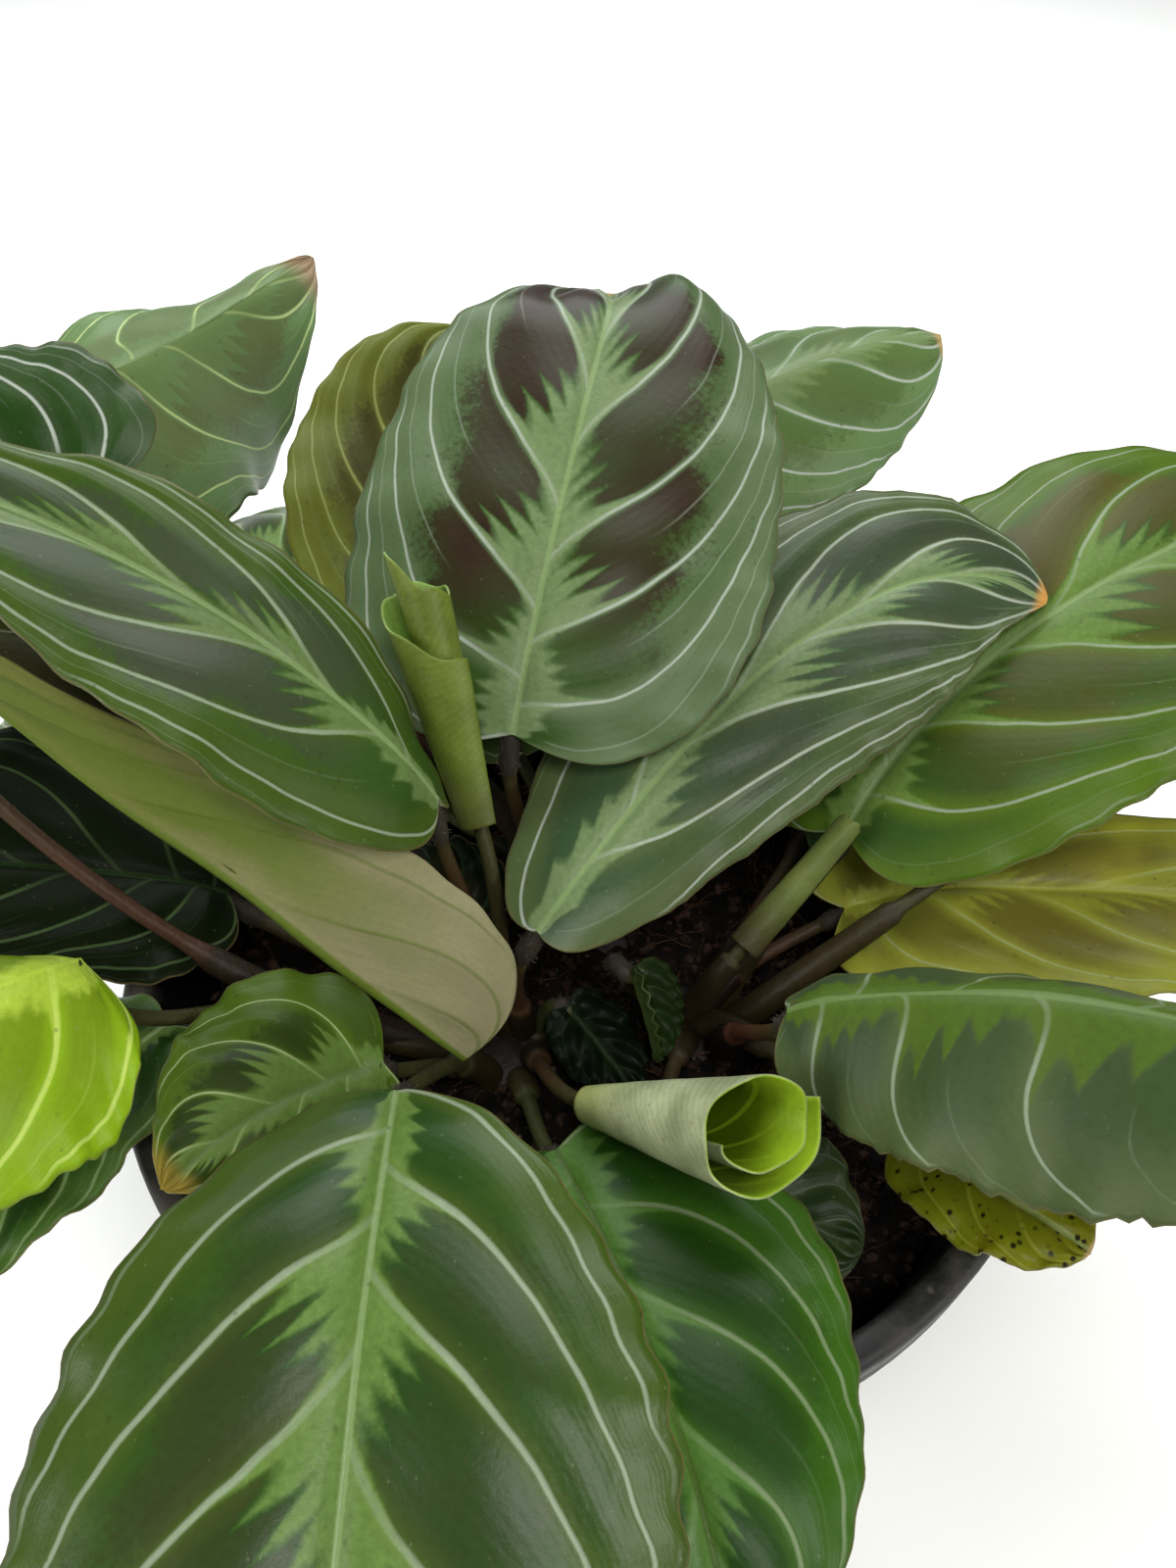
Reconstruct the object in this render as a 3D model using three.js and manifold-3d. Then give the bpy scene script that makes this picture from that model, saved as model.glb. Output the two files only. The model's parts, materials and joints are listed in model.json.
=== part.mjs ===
// A potted prayer plant (maranta): a black plastic nursery pot, the soil in it, three crowns of
// leaf stalks, open leaf blades and young leaves that are still rolled up.
// Millimetres, +Z up. The pot stands on z = 0 and its axis is the Z axis. The plant's front,
// where its biggest leaf hangs over the rim, looks along -Y.
import * as THREE from "three";
import { mergeVertices } from "three/addons/utils/BufferGeometryUtils.js";
import Module from "manifold-3d";

const wasm = await Module();
wasm.setup();

// Pot
const rimRadius = 65;
const potHeight = 100;
const rimBandHeight = 9;
const rimBandStep = 3;
const footRadius = 46;
const wall = 1.4;
const floorThickness = 2.5;
const drainRadius = 3.5;
const drainCircle = 32;
const drainCount = 6;
const potSides = 32;

// Soil
const soilTop = 84;
const gap = 0.3;
const soilRoughness = 0.8;

// Crowns: short rootstocks that stand in plain holes in the soil
const crownRadius = 9.5;
const crownDepth = 16;
const crownSides = 14;
const crownPlaces = { crown_left: [-12, -6], crown_right: [15, -3], crown_back: [1, 18] };

// Stalks and blades
const bladeThickness = 0.8;
const rollThickness = 0.6;
const footRadiusOfSheath = 2.5;
const topRadiusOfSheath = 1.8;
const stalkRadius = 1.1;
const jointRadius = 1.5;
const endRadius = 0.9;
const stalkSides = 5;

// Leaf blades. base, mid and tip are places along the midrib and face points out of the upper
// side. Angles are in degrees and come in pairs, for the left and the right half seen from the
// base: fold is how far a half rises at the midrib, foldAtTip the same at the tip, and curl how
// far it turns from there to its edge. halves are the halves' widths as parts of half the width,
// and taper is how much of that the halves lose on the way to the tip.
// nod bends the blade's end back, from nodFrom of its length on. round and point shape the
// outline at the base and the tip, and lobe sets how far it runs back beside the stalk. on and
// foot say which crown the stalk grows on and where, from the crown's middle, and lift, reach
// and approach how it leaves the crown and comes to the blade.
const leaves = [
  { name: "leaf_centre", base: [-10, 13, 129], mid: [-3, 43, 149], tip: [8, 92, 167], width: 62,
    face: [1, -9, 6], fold: [-14, 10], curl: [-26, -4], nod: 75, nodFrom: 0.74, round: 0.42, point: 0.55,
    lobe: 0.12, on: "crown_back", foot: [-5, -3] },
  { name: "leaf_right_long", base: [-6.5, -9, 115], mid: [34, 32, 133], tip: [67, 37, 135], width: 42,
    halves: [1, 0.95], face: [2, -3, 9], fold: [-22, 2], foldAtTip: [0, 2], curl: [-5, -20],
    round: 0.66, point: 0.8, lobe: 0.1, on: "crown_left", foot: [3, 2] },
  { name: "leaf_left_long", base: [-18.5, -1, 131.5], mid: [-46, 11, 153], tip: [-92, 26, 167], width: 42,
    halves: [1, 0.56], taper: [0.5, 0], face: [0, 0, 1], fold: [5, -50], foldAtTip: [5, 20],
    foldBy: 0.45, curl: [-20, -10], round: 0.6, on: "crown_left", foot: [0, 4] },
  { name: "leaf_half_open", base: [-95, 18, 153], mid: [-54, -5, 133], tip: [-14, -22, 106], width: 44,
    halves: [1, 0.3], taper: [0.5, -3.4], face: [0, -1, 6], fold: [-10, 80], foldAtTip: [10, 125],
    foldBy: 0.6, curl: [0, 30], point: 0.42, on: "crown_left", foot: [4, 3],
    lift: [-0.41, -0.2, 0.25], reach: 0.15 },
  { name: "leaf_front", base: [-23, -29, 110], mid: [-24, -69, 108], tip: [-25, -113, 89], width: 68,
    face: [0, 0, 1], curl: [-14, -30], round: 0.78, lobe: 0.07, on: "crown_left", foot: [-2, -5] },
  { name: "leaf_front_right", base: [-4, -31, 99], mid: [8, -60, 104], tip: [15, -88, 98], width: 50,
    taper: [0.3, 0], face: [1, 0, 9], fold: [8, -8], curl: [-12, -4], on: "crown_left",
    foot: [2, -5] },
  { name: "leaf_front_small", base: [11, -28, 94.5], mid: [22, -36, 95.5], tip: [33.5, -42, 95.5],
    width: 25, face: [1, -3, 9], fold: [5, 5], on: "crown_right", foot: [0, -2], lift: [0, 0, 0.6] },
  { name: "leaf_right_near", base: [24, -22, 117], mid: [52, -33, 135], tip: [90, -57, 149], width: 54,
    halves: [1, 0.8], face: [1, -1, 9], fold: [-42, -20], curl: [-20, -20], round: 0.52, point: 0.52,
    on: "crown_right", foot: [4, -4] },
  { name: "leaf_right_back", base: [37, 13, 110], mid: [67, 37, 130], tip: [115, 57, 139], width: 64,
    halves: [0.85, 0.93], face: [-2, -4, 9], fold: [-5, 10], curl: [-15, -15], round: 0.55,
    on: "crown_right", foot: [4, 3] },
  { name: "leaf_right_yellow", base: [38, 8, 98], mid: [66, 7, 104], tip: [112, -3, 108], width: 38,
    halves: [0.8, 1], face: [0, -3, 9], fold: [0, 14], curl: [-15, -5],
    on: "crown_right", foot: [1, 1], lift: [0, 0, 0.6] },
  { name: "leaf_rim_yellow", base: [42, -28.5, 96], mid: [49, -39.5, 105], tip: [56, -47.5, 108], width: 17,
    face: [0, -2, 9], fold: [5, 5], on: "crown_right", foot: [1, 0], lift: [0, 0, 0.6] },
  { name: "leaf_left_arched", base: [-76, 60, 154], mid: [-67, 93, 146], tip: [-52, 133, 143.5],
    width: 66, taper: [0.65, 0.2], face: [5, 0, 9], fold: [-35, -35], curl: [-20, -20],
    wave: [5.5, 2.08, 0.8], point: 0.85, on: "crown_back", foot: [-5, 1], approach: 2, reach: 0.2 },
  { name: "leaf_left_dark", base: [-65.5, 41, 148], mid: [-83, 42, 152], tip: [-111, 42, 157], width: 36,
    halves: [0.8, 1.05], face: [1, 0, 9], fold: [-20, 45], curl: [-20, -15], round: 0.36,
    on: "crown_back", foot: [-5, -2] },
  { name: "leaf_back_olive", base: [-20, 44, 120], mid: [-28, 74, 129], tip: [-20, 109, 139], width: 52,
    halves: [0.85, 1], face: [2, -6, 9], fold: [20, 20], on: "crown_back", foot: [-3, 4] },
  { name: "leaf_back_right", base: [0, 60, 138], mid: [30, 83, 143], tip: [62, 100, 144], width: 50,
    face: [2, -2, 9], fold: [-30, -20], curl: [-10, -20], on: "crown_back", foot: [2, 4],
    approach: 2, reach: 0.2 },
  { name: "leaf_left_shaded", base: [-52, 7, 103], mid: [-74, 6, 110], tip: [-111, 1, 117], width: 46,
    halves: [0.75, 1.1], face: [0, -1, 9], fold: [5, 16], on: "crown_left", foot: [-5, -1] },
  { name: "leaf_left_bright", base: [-60, -19, 123], mid: [-69, -30, 130], tip: [-92, -53, 136], width: 46,
    face: [0, 0, 1], fold: [-30, -20], curl: [-20, -20], on: "crown_left", foot: [3, 1],
    lift: [-0.27, 0.22, 0.32], reach: 0.42 },
  { name: "leaf_left_front", base: [-56, -15, 102.5], mid: [-66, -31, 103.5], tip: [-75, -49, 100],
    width: 26, halves: [0.85, 1], face: [-2, -2, 9], fold: [0, 8], curl: [-10, -20],
    on: "crown_left", foot: [1, -3], lift: [-0.28, 0, 0.34], reach: 0.2 },
  { name: "leaf_front_left", base: [-27, -19, 100], mid: [-39, -28, 105], tip: [-49, -40, 108], width: 38,
    halves: [0.7, 0.98], face: [-1, -2, 9], fold: [-10, 6], curl: [-25, -20], point: 0.9,
    on: "crown_left", foot: [-4, -4] },
  { name: "leaf_narrow", base: [6.5, -5.5, 102], mid: [8.5, -10, 97], tip: [10, -14, 92], width: 12,
    face: [8, -2, 4], fold: [30, 30], curl: [0, 0], wave: [0, 1, 0], on: "crown_right", foot: [-4, 0] },
  { name: "leaf_deep_front", base: [-3, -7, 95], mid: [2, -12, 92], tip: [7, -18, 89], width: 12,
    face: [1, -3, 9], fold: [5, 5], on: "crown_left", foot: [4, 0] },
  { name: "leaf_deep_left", base: [-16, 5, 96], mid: [-23, 10, 98], tip: [-32, 17, 99], width: 22,
    face: [0, -3, 9], on: "crown_left", foot: [-1, 4] },
  { name: "leaf_behind_right", base: [13, 37, 104], mid: [30, 72, 110], tip: [52, 106, 96], width: 50,
    face: [2, 3, 9], on: "crown_back", foot: [4, 3] },
  { name: "leaf_behind", base: [-6, 40, 101], mid: [-6, 80, 104], tip: [-6, 118, 84], width: 52,
    face: [0, 3, 9], on: "crown_back", foot: [0, 5] },
  { name: "leaf_behind_left", base: [-30, 32, 106], mid: [-50, 66, 115], tip: [-76, 98, 104], width: 50,
    face: [-2, 3, 9], on: "crown_back", foot: [-4, 3] },
  { name: "leaf_side_right", base: [34, 24, 98], mid: [66, 52, 104], tip: [96, 78, 92], width: 50,
    face: [1, 1, 9], on: "crown_right", foot: [3, 4] },
  { name: "leaf_side_left", base: [-36, 26, 98], mid: [-68, 42, 106], tip: [-102, 58, 96], width: 43,
    face: [-1, 1, 9], on: "crown_left", foot: [-4, 3] },
  { name: "leaf_far_right", base: [84, 30, 115], mid: [110, 34, 120], tip: [138, 30, 113], width: 38,
    face: [1, -1, 9], on: "crown_right", foot: [1, -1], lift: [0.35, -0.05, 0.6], reach: 0.2 },
];

// Young leaves, still rolled: start and end are places along the middle of the roll, radius and
// pitch its outer radius and the spacing of its wraps, both at the start and at the end. seam is
// the angle of the outer edge. slant tilts the open end towards the angle lip, and rise is how
// much further the inner edge reaches than the outer one.
const rolls = [
  { name: "roll_front", start: [0, -26, 102], end: [19, -38.5, 118.5], radius: [2.8, 8.2],
    pitch: [1.1, 2.7], turns: 1.5, seam: 200, slant: 2.5, lip: 200, on: "crown_left", foot: [4, -2] },
  { name: "roll_upright", start: [-14.2, 3.4, 122], end: [-20, 17.3, 141], radius: [3, 5.8],
    pitch: [1.3, 2.2], turns: 1.3, seam: 60, slant: 3, lip: 240, rise: 12,
    on: "crown_left", foot: [0, 2] },
  { name: "roll_new", start: [22, -1, 101], end: [37, 11, 114], radius: [2.5, 2], pitch: [0.9, 0.8],
    turns: 1.6, seam: 0, on: "crown_right", foot: [0, 1], sheathEnd: 0.8 },
];

// Colours. A blade that isn't named is plain green.
const potColor = 0x1b1c1d;
const soilColor = 0x241b17;
const stalkColor = 0x54433a;
const bladeGreen = 0x4b6b3a;
const bladeColors = {
  leaf_centre: 0x66794f,
  leaf_right_long: 0x5f7a6c,
  leaf_left_long: 0x59784e,
  leaf_half_open: 0x9a9f62,
  leaf_front: 0x436c36,
  leaf_front_small: 0x38552f,
  leaf_right_near: 0x566f4f,
  leaf_right_back: 0x5f8a38,
  leaf_right_yellow: 0xa5a83f,
  leaf_rim_yellow: 0x9a9c2c,
  leaf_left_arched: 0x6b8a52,
  leaf_left_dark: 0x4d6848,
  leaf_back_olive: 0x80893f,
  leaf_back_right: 0x5f7f47,
  leaf_left_shaded: 0x30452a,
  leaf_left_bright: 0x8bb02f,
  leaf_left_front: 0x3f692e,
  leaf_front_left: 0x4e7536,
  leaf_deep_front: 0x27402b,
  leaf_deep_left: 0x263a2b,
  roll_front: 0xa7b388,
  roll_upright: 0x98a066,
  roll_new: 0x77863f,
};

const radians = THREE.MathUtils.degToRad;
const mix = THREE.MathUtils.lerp;
const vector = (list) => new THREE.Vector3(...list);
const moved = (place, direction, distance) => place.clone().addScaledVector(direction, distance);

function closedGeometry(points, triangles) {
  const geometry = new THREE.BufferGeometry();
  const numbers = points.flatMap((point) => [point.x, point.y, point.z]);
  geometry.setAttribute("position", new THREE.Float32BufferAttribute(numbers, 3));
  geometry.setIndex(triangles.flat());
  geometry.computeVertexNormals();
  return geometry;
}

// A thin closed solid around a sheet. placeAt gives the sheet's points from a row and a column
// that both run from 0 to 1, and both faces are cut into the same triangles.
function sheetSolid(placeAt, rows, columns, thickness) {
  const sheet = [];
  for (let row = 0; row <= rows; row += 1) {
    for (let column = 0; column <= columns; column += 1) {
      sheet.push(placeAt(row / rows, column / columns));
    }
  }
  const index = (row, column) => row * (columns + 1) + column;
  const upper = [];
  const lower = [];
  for (let row = 0; row <= rows; row += 1) {
    for (let column = 0; column <= columns; column += 1) {
      const ahead = sheet[index(Math.min(row + 1, rows), column)];
      const behind = sheet[index(Math.max(row - 1, 0), column)];
      const right = sheet[index(row, Math.min(column + 1, columns))];
      const left = sheet[index(row, Math.max(column - 1, 0))];
      const along = ahead.clone().sub(behind);
      const outward = right.clone().sub(left).cross(along).normalize();
      upper.push(moved(sheet[index(row, column)], outward, thickness / 2));
      lower.push(moved(sheet[index(row, column)], outward, -thickness / 2));
    }
  }
  const below = upper.length;
  const triangles = [];
  for (let row = 0; row < rows; row += 1) {
    for (let column = 0; column < columns; column += 1) {
      const [a, b] = [index(row, column), index(row, column + 1)];
      const [c, d] = [index(row + 1, column + 1), index(row + 1, column)];
      triangles.push([a, b, c], [a, c, d]);
      triangles.push([below + c, below + b, below + a], [below + d, below + c, below + a]);
    }
  }
  const edge = [];
  for (let column = columns; column > 0; column -= 1) edge.push(index(0, column));
  for (let row = 0; row < rows; row += 1) edge.push(index(row, 0));
  for (let column = 0; column < columns; column += 1) edge.push(index(rows, column));
  for (let row = rows; row > 0; row -= 1) edge.push(index(row, columns));
  edge.forEach((first, step) => {
    const second = edge[(step + 1) % edge.length];
    triangles.push([first, second, below + second], [first, below + second, below + first]);
  });
  return closedGeometry([...upper, ...lower], triangles);
}

// How wide a blade is at t of its length, as a part of its greatest width.
function bladeOutline(leaf, t) {
  const round = leaf.round ?? 0.46;
  const point = leaf.point ?? 0.62;
  const widest = round / (round + point);
  const peak = widest ** round * (1 - widest) ** point;
  return 0.03 + 0.97 * (t ** round * (1 - t) ** point) / peak;
}

// The place of the midrib at s of its length with the directions along it, to its right and
// out of its upper side.
function midribFrame(leaf, s) {
  const [base, mid, tip] = [leaf.base, leaf.mid, leaf.tip].map(vector);
  const control = mid.clone().multiplyScalar(2).sub(moved(base, tip, 1).divideScalar(2));
  const rib = new THREE.QuadraticBezierCurve3(base, control, tip);
  const inside = THREE.MathUtils.clamp(s, 0, 1);
  const place = rib.getPoint(inside);
  let along = rib.getTangent(inside);
  place.addScaledVector(along, Math.min(s, 0) * base.distanceTo(tip));
  const right = along.clone().cross(vector(leaf.face)).normalize();
  let out = right.clone().cross(along);
  const nod = radians(leaf.nod ?? 12);
  const nodFrom = leaf.nodFrom ?? 0.65;
  const length = base.distanceTo(mid) + mid.distanceTo(tip);
  const bend = nod / ((1 - nodFrom) * length);
  const travel = Math.max(s - nodFrom, 0) * length;
  const turn = bend * travel;
  place.addScaledVector(along, Math.sin(turn) / bend - travel);
  place.addScaledVector(out, (Math.cos(turn) - 1) / bend);
  const bent = moved(along.clone().multiplyScalar(Math.cos(turn)), out, -Math.sin(turn));
  out = moved(out.multiplyScalar(Math.cos(turn)), along, Math.sin(turn));
  along = bent;
  return { place, along, right, out };
}

// The point of a blade's middle sheet at t from base to tip and x from its left edge, -1, to
// its right edge, 1.
function bladePoint(leaf, t, x) {
  const half = leaf.width / 2;
  const outline = bladeOutline(leaf, t);
  const lobe = leaf.lobe ?? 0.22;
  const s = t - lobe * outline * (1 - t) ** 5 * Math.abs(x) ** 1.4;
  const { place, right, out } = midribFrame(leaf, s);
  const side = x > 0 ? 1 : 0;
  const fold = leaf.fold ?? [10, 10];
  const foldAtTip = leaf.foldAtTip ?? fold;
  const curl = leaf.curl ?? [-25, -25];
  const start = radians(mix(fold[side], foldAtTip[side], Math.min(t / (leaf.foldBy ?? 1), 1)));
  const bend = radians(curl[side] || 0.1) / half;
  const share = (leaf.halves ?? [1, 1])[side] * (1 - (leaf.taper ?? [0, 0])[side] * t * t);
  const distance = Math.abs(x) * half * outline * share;
  const across = (Math.sin(start + bend * distance) - Math.sin(start)) / bend;
  let rise = (Math.cos(start) - Math.cos(start + bend * distance)) / bend;
  const [height, count, shift] = leaf.wave ?? [1, 3, 0];
  const swing = Math.sin(2 * Math.PI * count * t + shift + 2 * side);
  rise += height * x * x * Math.sqrt(Math.sin(Math.PI * t)) * swing;
  return moved(moved(place, right, Math.sign(x) * across), out, rise);
}

// Rows lie closer together near the base and the tip, where the outline turns.
const eased = (row) => mix(row, (1 - Math.cos(Math.PI * row)) / 2, 0.6);

function bladeGeometry(leaf) {
  const [rows, columns] = leaf.width > 30 ? [11, 6] : leaf.width > 15 ? [9, 6] : [6, 4];
  const placeAt = (row, column) => bladePoint(leaf, eased(row), 2 * column - 1);
  return sheetSolid(placeAt, rows, columns, bladeThickness);
}

function rollFrame(roll) {
  const along = vector(roll.end).sub(vector(roll.start));
  const length = along.length();
  along.normalize();
  const right = along.clone().cross(new THREE.Vector3(0, 0, 1)).normalize();
  return { along, right, out: right.clone().cross(along), length };
}

// The point of a rolled leaf at t along the roll and v from its outer edge to its inner edge.
function rollPoint(roll, t, v) {
  const { along, right, out, length } = rollFrame(roll);
  const angle = radians(roll.seam) + 2 * Math.PI * roll.turns * v;
  const radius = mix(...roll.radius, t) - mix(...roll.pitch, t) * roll.turns * v;
  const slant = (roll.slant ?? 0) * t * Math.cos(angle - radians(roll.lip ?? 0));
  const height = length * t + slant + (roll.rise ?? 0) * t * v;
  const place = moved(vector(roll.start), along, height);
  return moved(moved(place, right, radius * Math.cos(angle)), out, radius * Math.sin(angle));
}

function rollGeometry(roll) {
  const placeAt = (row, column) => rollPoint(roll, row, 1 - column);
  return sheetSolid(placeAt, 7, Math.round(12 * roll.turns), rollThickness);
}

// A stalk's outline: a thick sheath, a thin stalk, a thicker joint below the blade.
function stalkRadiusAt(u, sheathEnd) {
  const stations = [
    [0, footRadiusOfSheath],
    [sheathEnd, topRadiusOfSheath],
    [sheathEnd + 0.06, stalkRadius],
    [0.84, stalkRadius],
    [0.89, jointRadius],
    [0.96, jointRadius],
    [1, endRadius],
  ];
  const next = stations.findIndex(([end]) => end >= u);
  if (next <= 0) return stations[0][1];
  const [[u0, r0], [u1, r1]] = [stations[next - 1], stations[next]];
  return mix(r0, r1, (u - u0) / (u1 - u0));
}

function stalkCurve(piece, end, arrival) {
  const [x, y] = crownPlaces[piece.on];
  const foot = new THREE.Vector3(x + piece.foot[0], y + piece.foot[1], soilTop - 6);
  const distance = foot.distanceTo(end);
  const lift = piece.lift ?? [0, 0, 0.45];
  const first = moved(foot, vector(lift), distance);
  const last = moved(end, arrival, -(piece.reach ?? 0.3) * distance);
  return new THREE.CubicBezierCurve3(foot, first, last, end);
}

function stalkGeometry(curve, sheathEnd) {
  const stations = [0, 0.12, 0.24, sheathEnd, sheathEnd + 0.06, 0.6, 0.72, 0.84, 0.89, 0.96, 1];
  const chord = curve.getPoint(1).sub(curve.getPoint(0));
  const sideways = chord.clone().cross(new THREE.Vector3(0, 0, 1));
  if (sideways.length() < 1) sideways.set(1, 0, 0);
  const points = [];
  for (const u of stations) {
    const along = curve.getTangent(u);
    const right = sideways.clone().addScaledVector(along, -sideways.dot(along)).normalize();
    const out = right.clone().cross(along);
    const radius = stalkRadiusAt(u, sheathEnd);
    for (let side = 0; side < stalkSides; side += 1) {
      const angle = (2 * Math.PI * side) / stalkSides;
      const rim = moved(curve.getPoint(u), right, radius * Math.cos(angle));
      points.push(moved(rim, out, radius * Math.sin(angle)));
    }
  }
  const triangles = [];
  const last = (stations.length - 1) * stalkSides;
  for (let ring = 0; ring < last; ring += stalkSides) {
    for (let side = 0; side < stalkSides; side += 1) {
      const next = (side + 1) % stalkSides;
      const [a, b, c, d] = [ring + side, ring + next, ring + stalkSides + next, ring + stalkSides + side];
      triangles.push([a, c, b], [a, d, c]);
    }
  }
  for (let side = 1; side < stalkSides - 1; side += 1) {
    triangles.push([0, side, side + 1], [last, last + side + 1, last + side]);
  }
  return closedGeometry(points, triangles);
}

function toManifold(geometry) {
  const plain = new THREE.BufferGeometry();
  plain.setAttribute("position", geometry.getAttribute("position"));
  if (geometry.index) plain.setIndex(geometry.index);
  const merged = mergeVertices(plain, 1e-4);
  const vertProperties = new Float32Array(merged.getAttribute("position").array);
  const triVerts = new Uint32Array(merged.index.array);
  return new wasm.Manifold(new wasm.Mesh({ numProp: 3, vertProperties, triVerts }));
}

function fromManifold(solid) {
  const { vertProperties, triVerts } = solid.getMesh();
  const geometry = new THREE.BufferGeometry();
  geometry.setAttribute("position", new THREE.BufferAttribute(vertProperties, 3));
  geometry.setIndex(new THREE.BufferAttribute(triVerts, 1));
  geometry.computeVertexNormals();
  return geometry;
}

// A body turned about the Z axis. The profile runs from the axis out and back, anticlockwise
// with x to the right and z up.
function turned(profile, sides) {
  const points = profile.map(([radius, z]) => new THREE.Vector2(radius, z));
  return new THREE.LatheGeometry(points, sides).rotateX(Math.PI / 2);
}

function potGeometry() {
  const rimInner = rimRadius - rimBandStep - wall;
  const bandBottom = potHeight - rimBandHeight;
  const wallTop = rimRadius - rimBandStep;
  const profile = [
    [0, 0],
    [footRadius - 2, 0],
    [footRadius, 2],
    [wallTop - 0.6, bandBottom],
    [rimRadius - 0.4, bandBottom + 0.6],
    [rimRadius, potHeight - 1.4],
    [rimRadius - 1.1, potHeight - 0.2],
    [rimRadius - 2.4, potHeight],
    [rimInner + 0.3, potHeight - 0.8],
    [rimInner, potHeight - 2.4],
    [rimInner - 1, bandBottom - 1],
    [footRadius - wall, floorThickness + 1.5],
    [footRadius - wall - 1.5, floorThickness],
    [0, floorThickness],
  ];
  let pot = toManifold(turned(profile, potSides));
  for (let hole = 0; hole < drainCount; hole += 1) {
    const angle = (2 * Math.PI * hole) / drainCount;
    const drill = new THREE.CylinderGeometry(drainRadius, drainRadius, 3 * floorThickness, 12);
    drill.rotateX(Math.PI / 2);
    drill.translate(drainCircle * Math.cos(angle), drainCircle * Math.sin(angle), 0);
    pot = pot.subtract(toManifold(drill));
  }
  return fromManifold(pot);
}

function soilGeometry() {
  const bottom = floorThickness + gap;
  const low = footRadius - wall - 1.5 - gap;
  const bandBottom = potHeight - rimBandHeight;
  const rise = (soilTop - floorThickness - 1.5) / (bandBottom - 1 - floorThickness - 1.5);
  const top = mix(footRadius - wall, rimRadius - rimBandStep - wall - 1, rise) - gap - 0.3;
  const profile = [[0, bottom], [low - 1.5, bottom], [low, bottom + 2], [top, soilTop - 1.5]];
  for (const ring of [0.86, 0.7, 0.54, 0.36, 0.18]) profile.push([top * ring, soilTop]);
  profile.push([0, soilTop]);
  const block = turned(profile, 26);
  const places = block.getAttribute("position");
  for (let i = 0; i < places.count; i += 1) {
    const [x, y, z] = [places.getX(i), places.getY(i), places.getZ(i)];
    if (z < soilTop - 0.5) continue;
    const lumps = Math.sin(0.29 * x + 0.8) * Math.cos(0.33 * y) + 0.6 * Math.sin(0.61 * x - 0.47 * y);
    places.setZ(i, z + soilRoughness * lumps);
  }
  let soil = toManifold(block);
  for (const [x, y] of Object.values(crownPlaces)) {
    const radius = (crownRadius + gap) / Math.cos(Math.PI / crownSides);
    const drill = new THREE.CylinderGeometry(radius, radius, 2 * (crownDepth + gap), crownSides);
    drill.rotateX(Math.PI / 2).translate(x, y, soilTop);
    soil = soil.subtract(toManifold(drill));
  }
  return fromManifold(soil);
}

// A crown: its rootstock with the stalks of its leaves sunk into it.
function crownGeometry(name) {
  const [x, y] = crownPlaces[name];
  const profile = [
    [0, soilTop - crownDepth],
    [crownRadius - 2, soilTop - crownDepth],
    [crownRadius, soilTop - crownDepth + 3],
    [crownRadius, soilTop - 3],
    [crownRadius - 2.5, soilTop - 0.6],
    [0, soilTop + 0.6],
  ];
  let crown = toManifold(turned(profile, crownSides).translate(x, y, 0));
  for (const leaf of leaves.filter((one) => one.on === name)) {
    const { place, along, out } = midribFrame(leaf, 0);
    const end = moved(place, out, -(bladeThickness / 2 + gap + endRadius + 0.2));
    const arrival = moved(along.clone().multiplyScalar(0.8), out, leaf.approach ?? 0.6).normalize();
    const curve = stalkCurve(leaf, end, arrival);
    crown = crown.add(toManifold(stalkGeometry(curve, leaf.sheathEnd ?? 0.42)));
  }
  for (const roll of rolls.filter((one) => one.on === name)) {
    const { along } = rollFrame(roll);
    const end = moved(vector(roll.start), along, -gap);
    const curve = stalkCurve(roll, end, along);
    crown = crown.add(toManifold(stalkGeometry(curve, roll.sheathEnd ?? 0.42)));
  }
  return fromManifold(crown);
}

function finish(color, roughness) {
  return new THREE.MeshStandardMaterial({ color, roughness, metalness: 0 });
}

const plant = new THREE.Group();

function addMesh(name, geometry, material) {
  const mesh = new THREE.Mesh(geometry, material);
  mesh.name = name;
  plant.add(mesh);
}

addMesh("pot", potGeometry(), finish(potColor, 0.55));
addMesh("soil", soilGeometry(), finish(soilColor, 0.95));
for (const name of Object.keys(crownPlaces)) addMesh(name, crownGeometry(name), finish(stalkColor, 0.6));
for (const leaf of leaves) {
  addMesh(leaf.name, bladeGeometry(leaf), finish(bladeColors[leaf.name] ?? bladeGreen, 0.45));
}
for (const roll of rolls) addMesh(roll.name, rollGeometry(roll), finish(bladeColors[roll.name], 0.5));

export default plant;
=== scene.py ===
# %% [markdown]
# # A potted prayer plant
# A black nursery pot holds damp dark soil, whose near-black colour is partly painted shade from
# the leaves above. From three short rootstocks rise sheathed stalks, and each carries a broad
# oval blade with a feathered pale centre, silvery side veins and dark blotches. Three young leaves
# are still rolled up. The solids from the CAD part fix where everything is, and this lesson
# dresses them: fine waved blades, smooth stalks with hairs, crumbly soil and a moulded pot.
# Lengths below are in millimetres until a mesh is made.

# %% Load the frame
import json
import math
import bpy
import numpy as np
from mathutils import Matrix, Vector, noise


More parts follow.
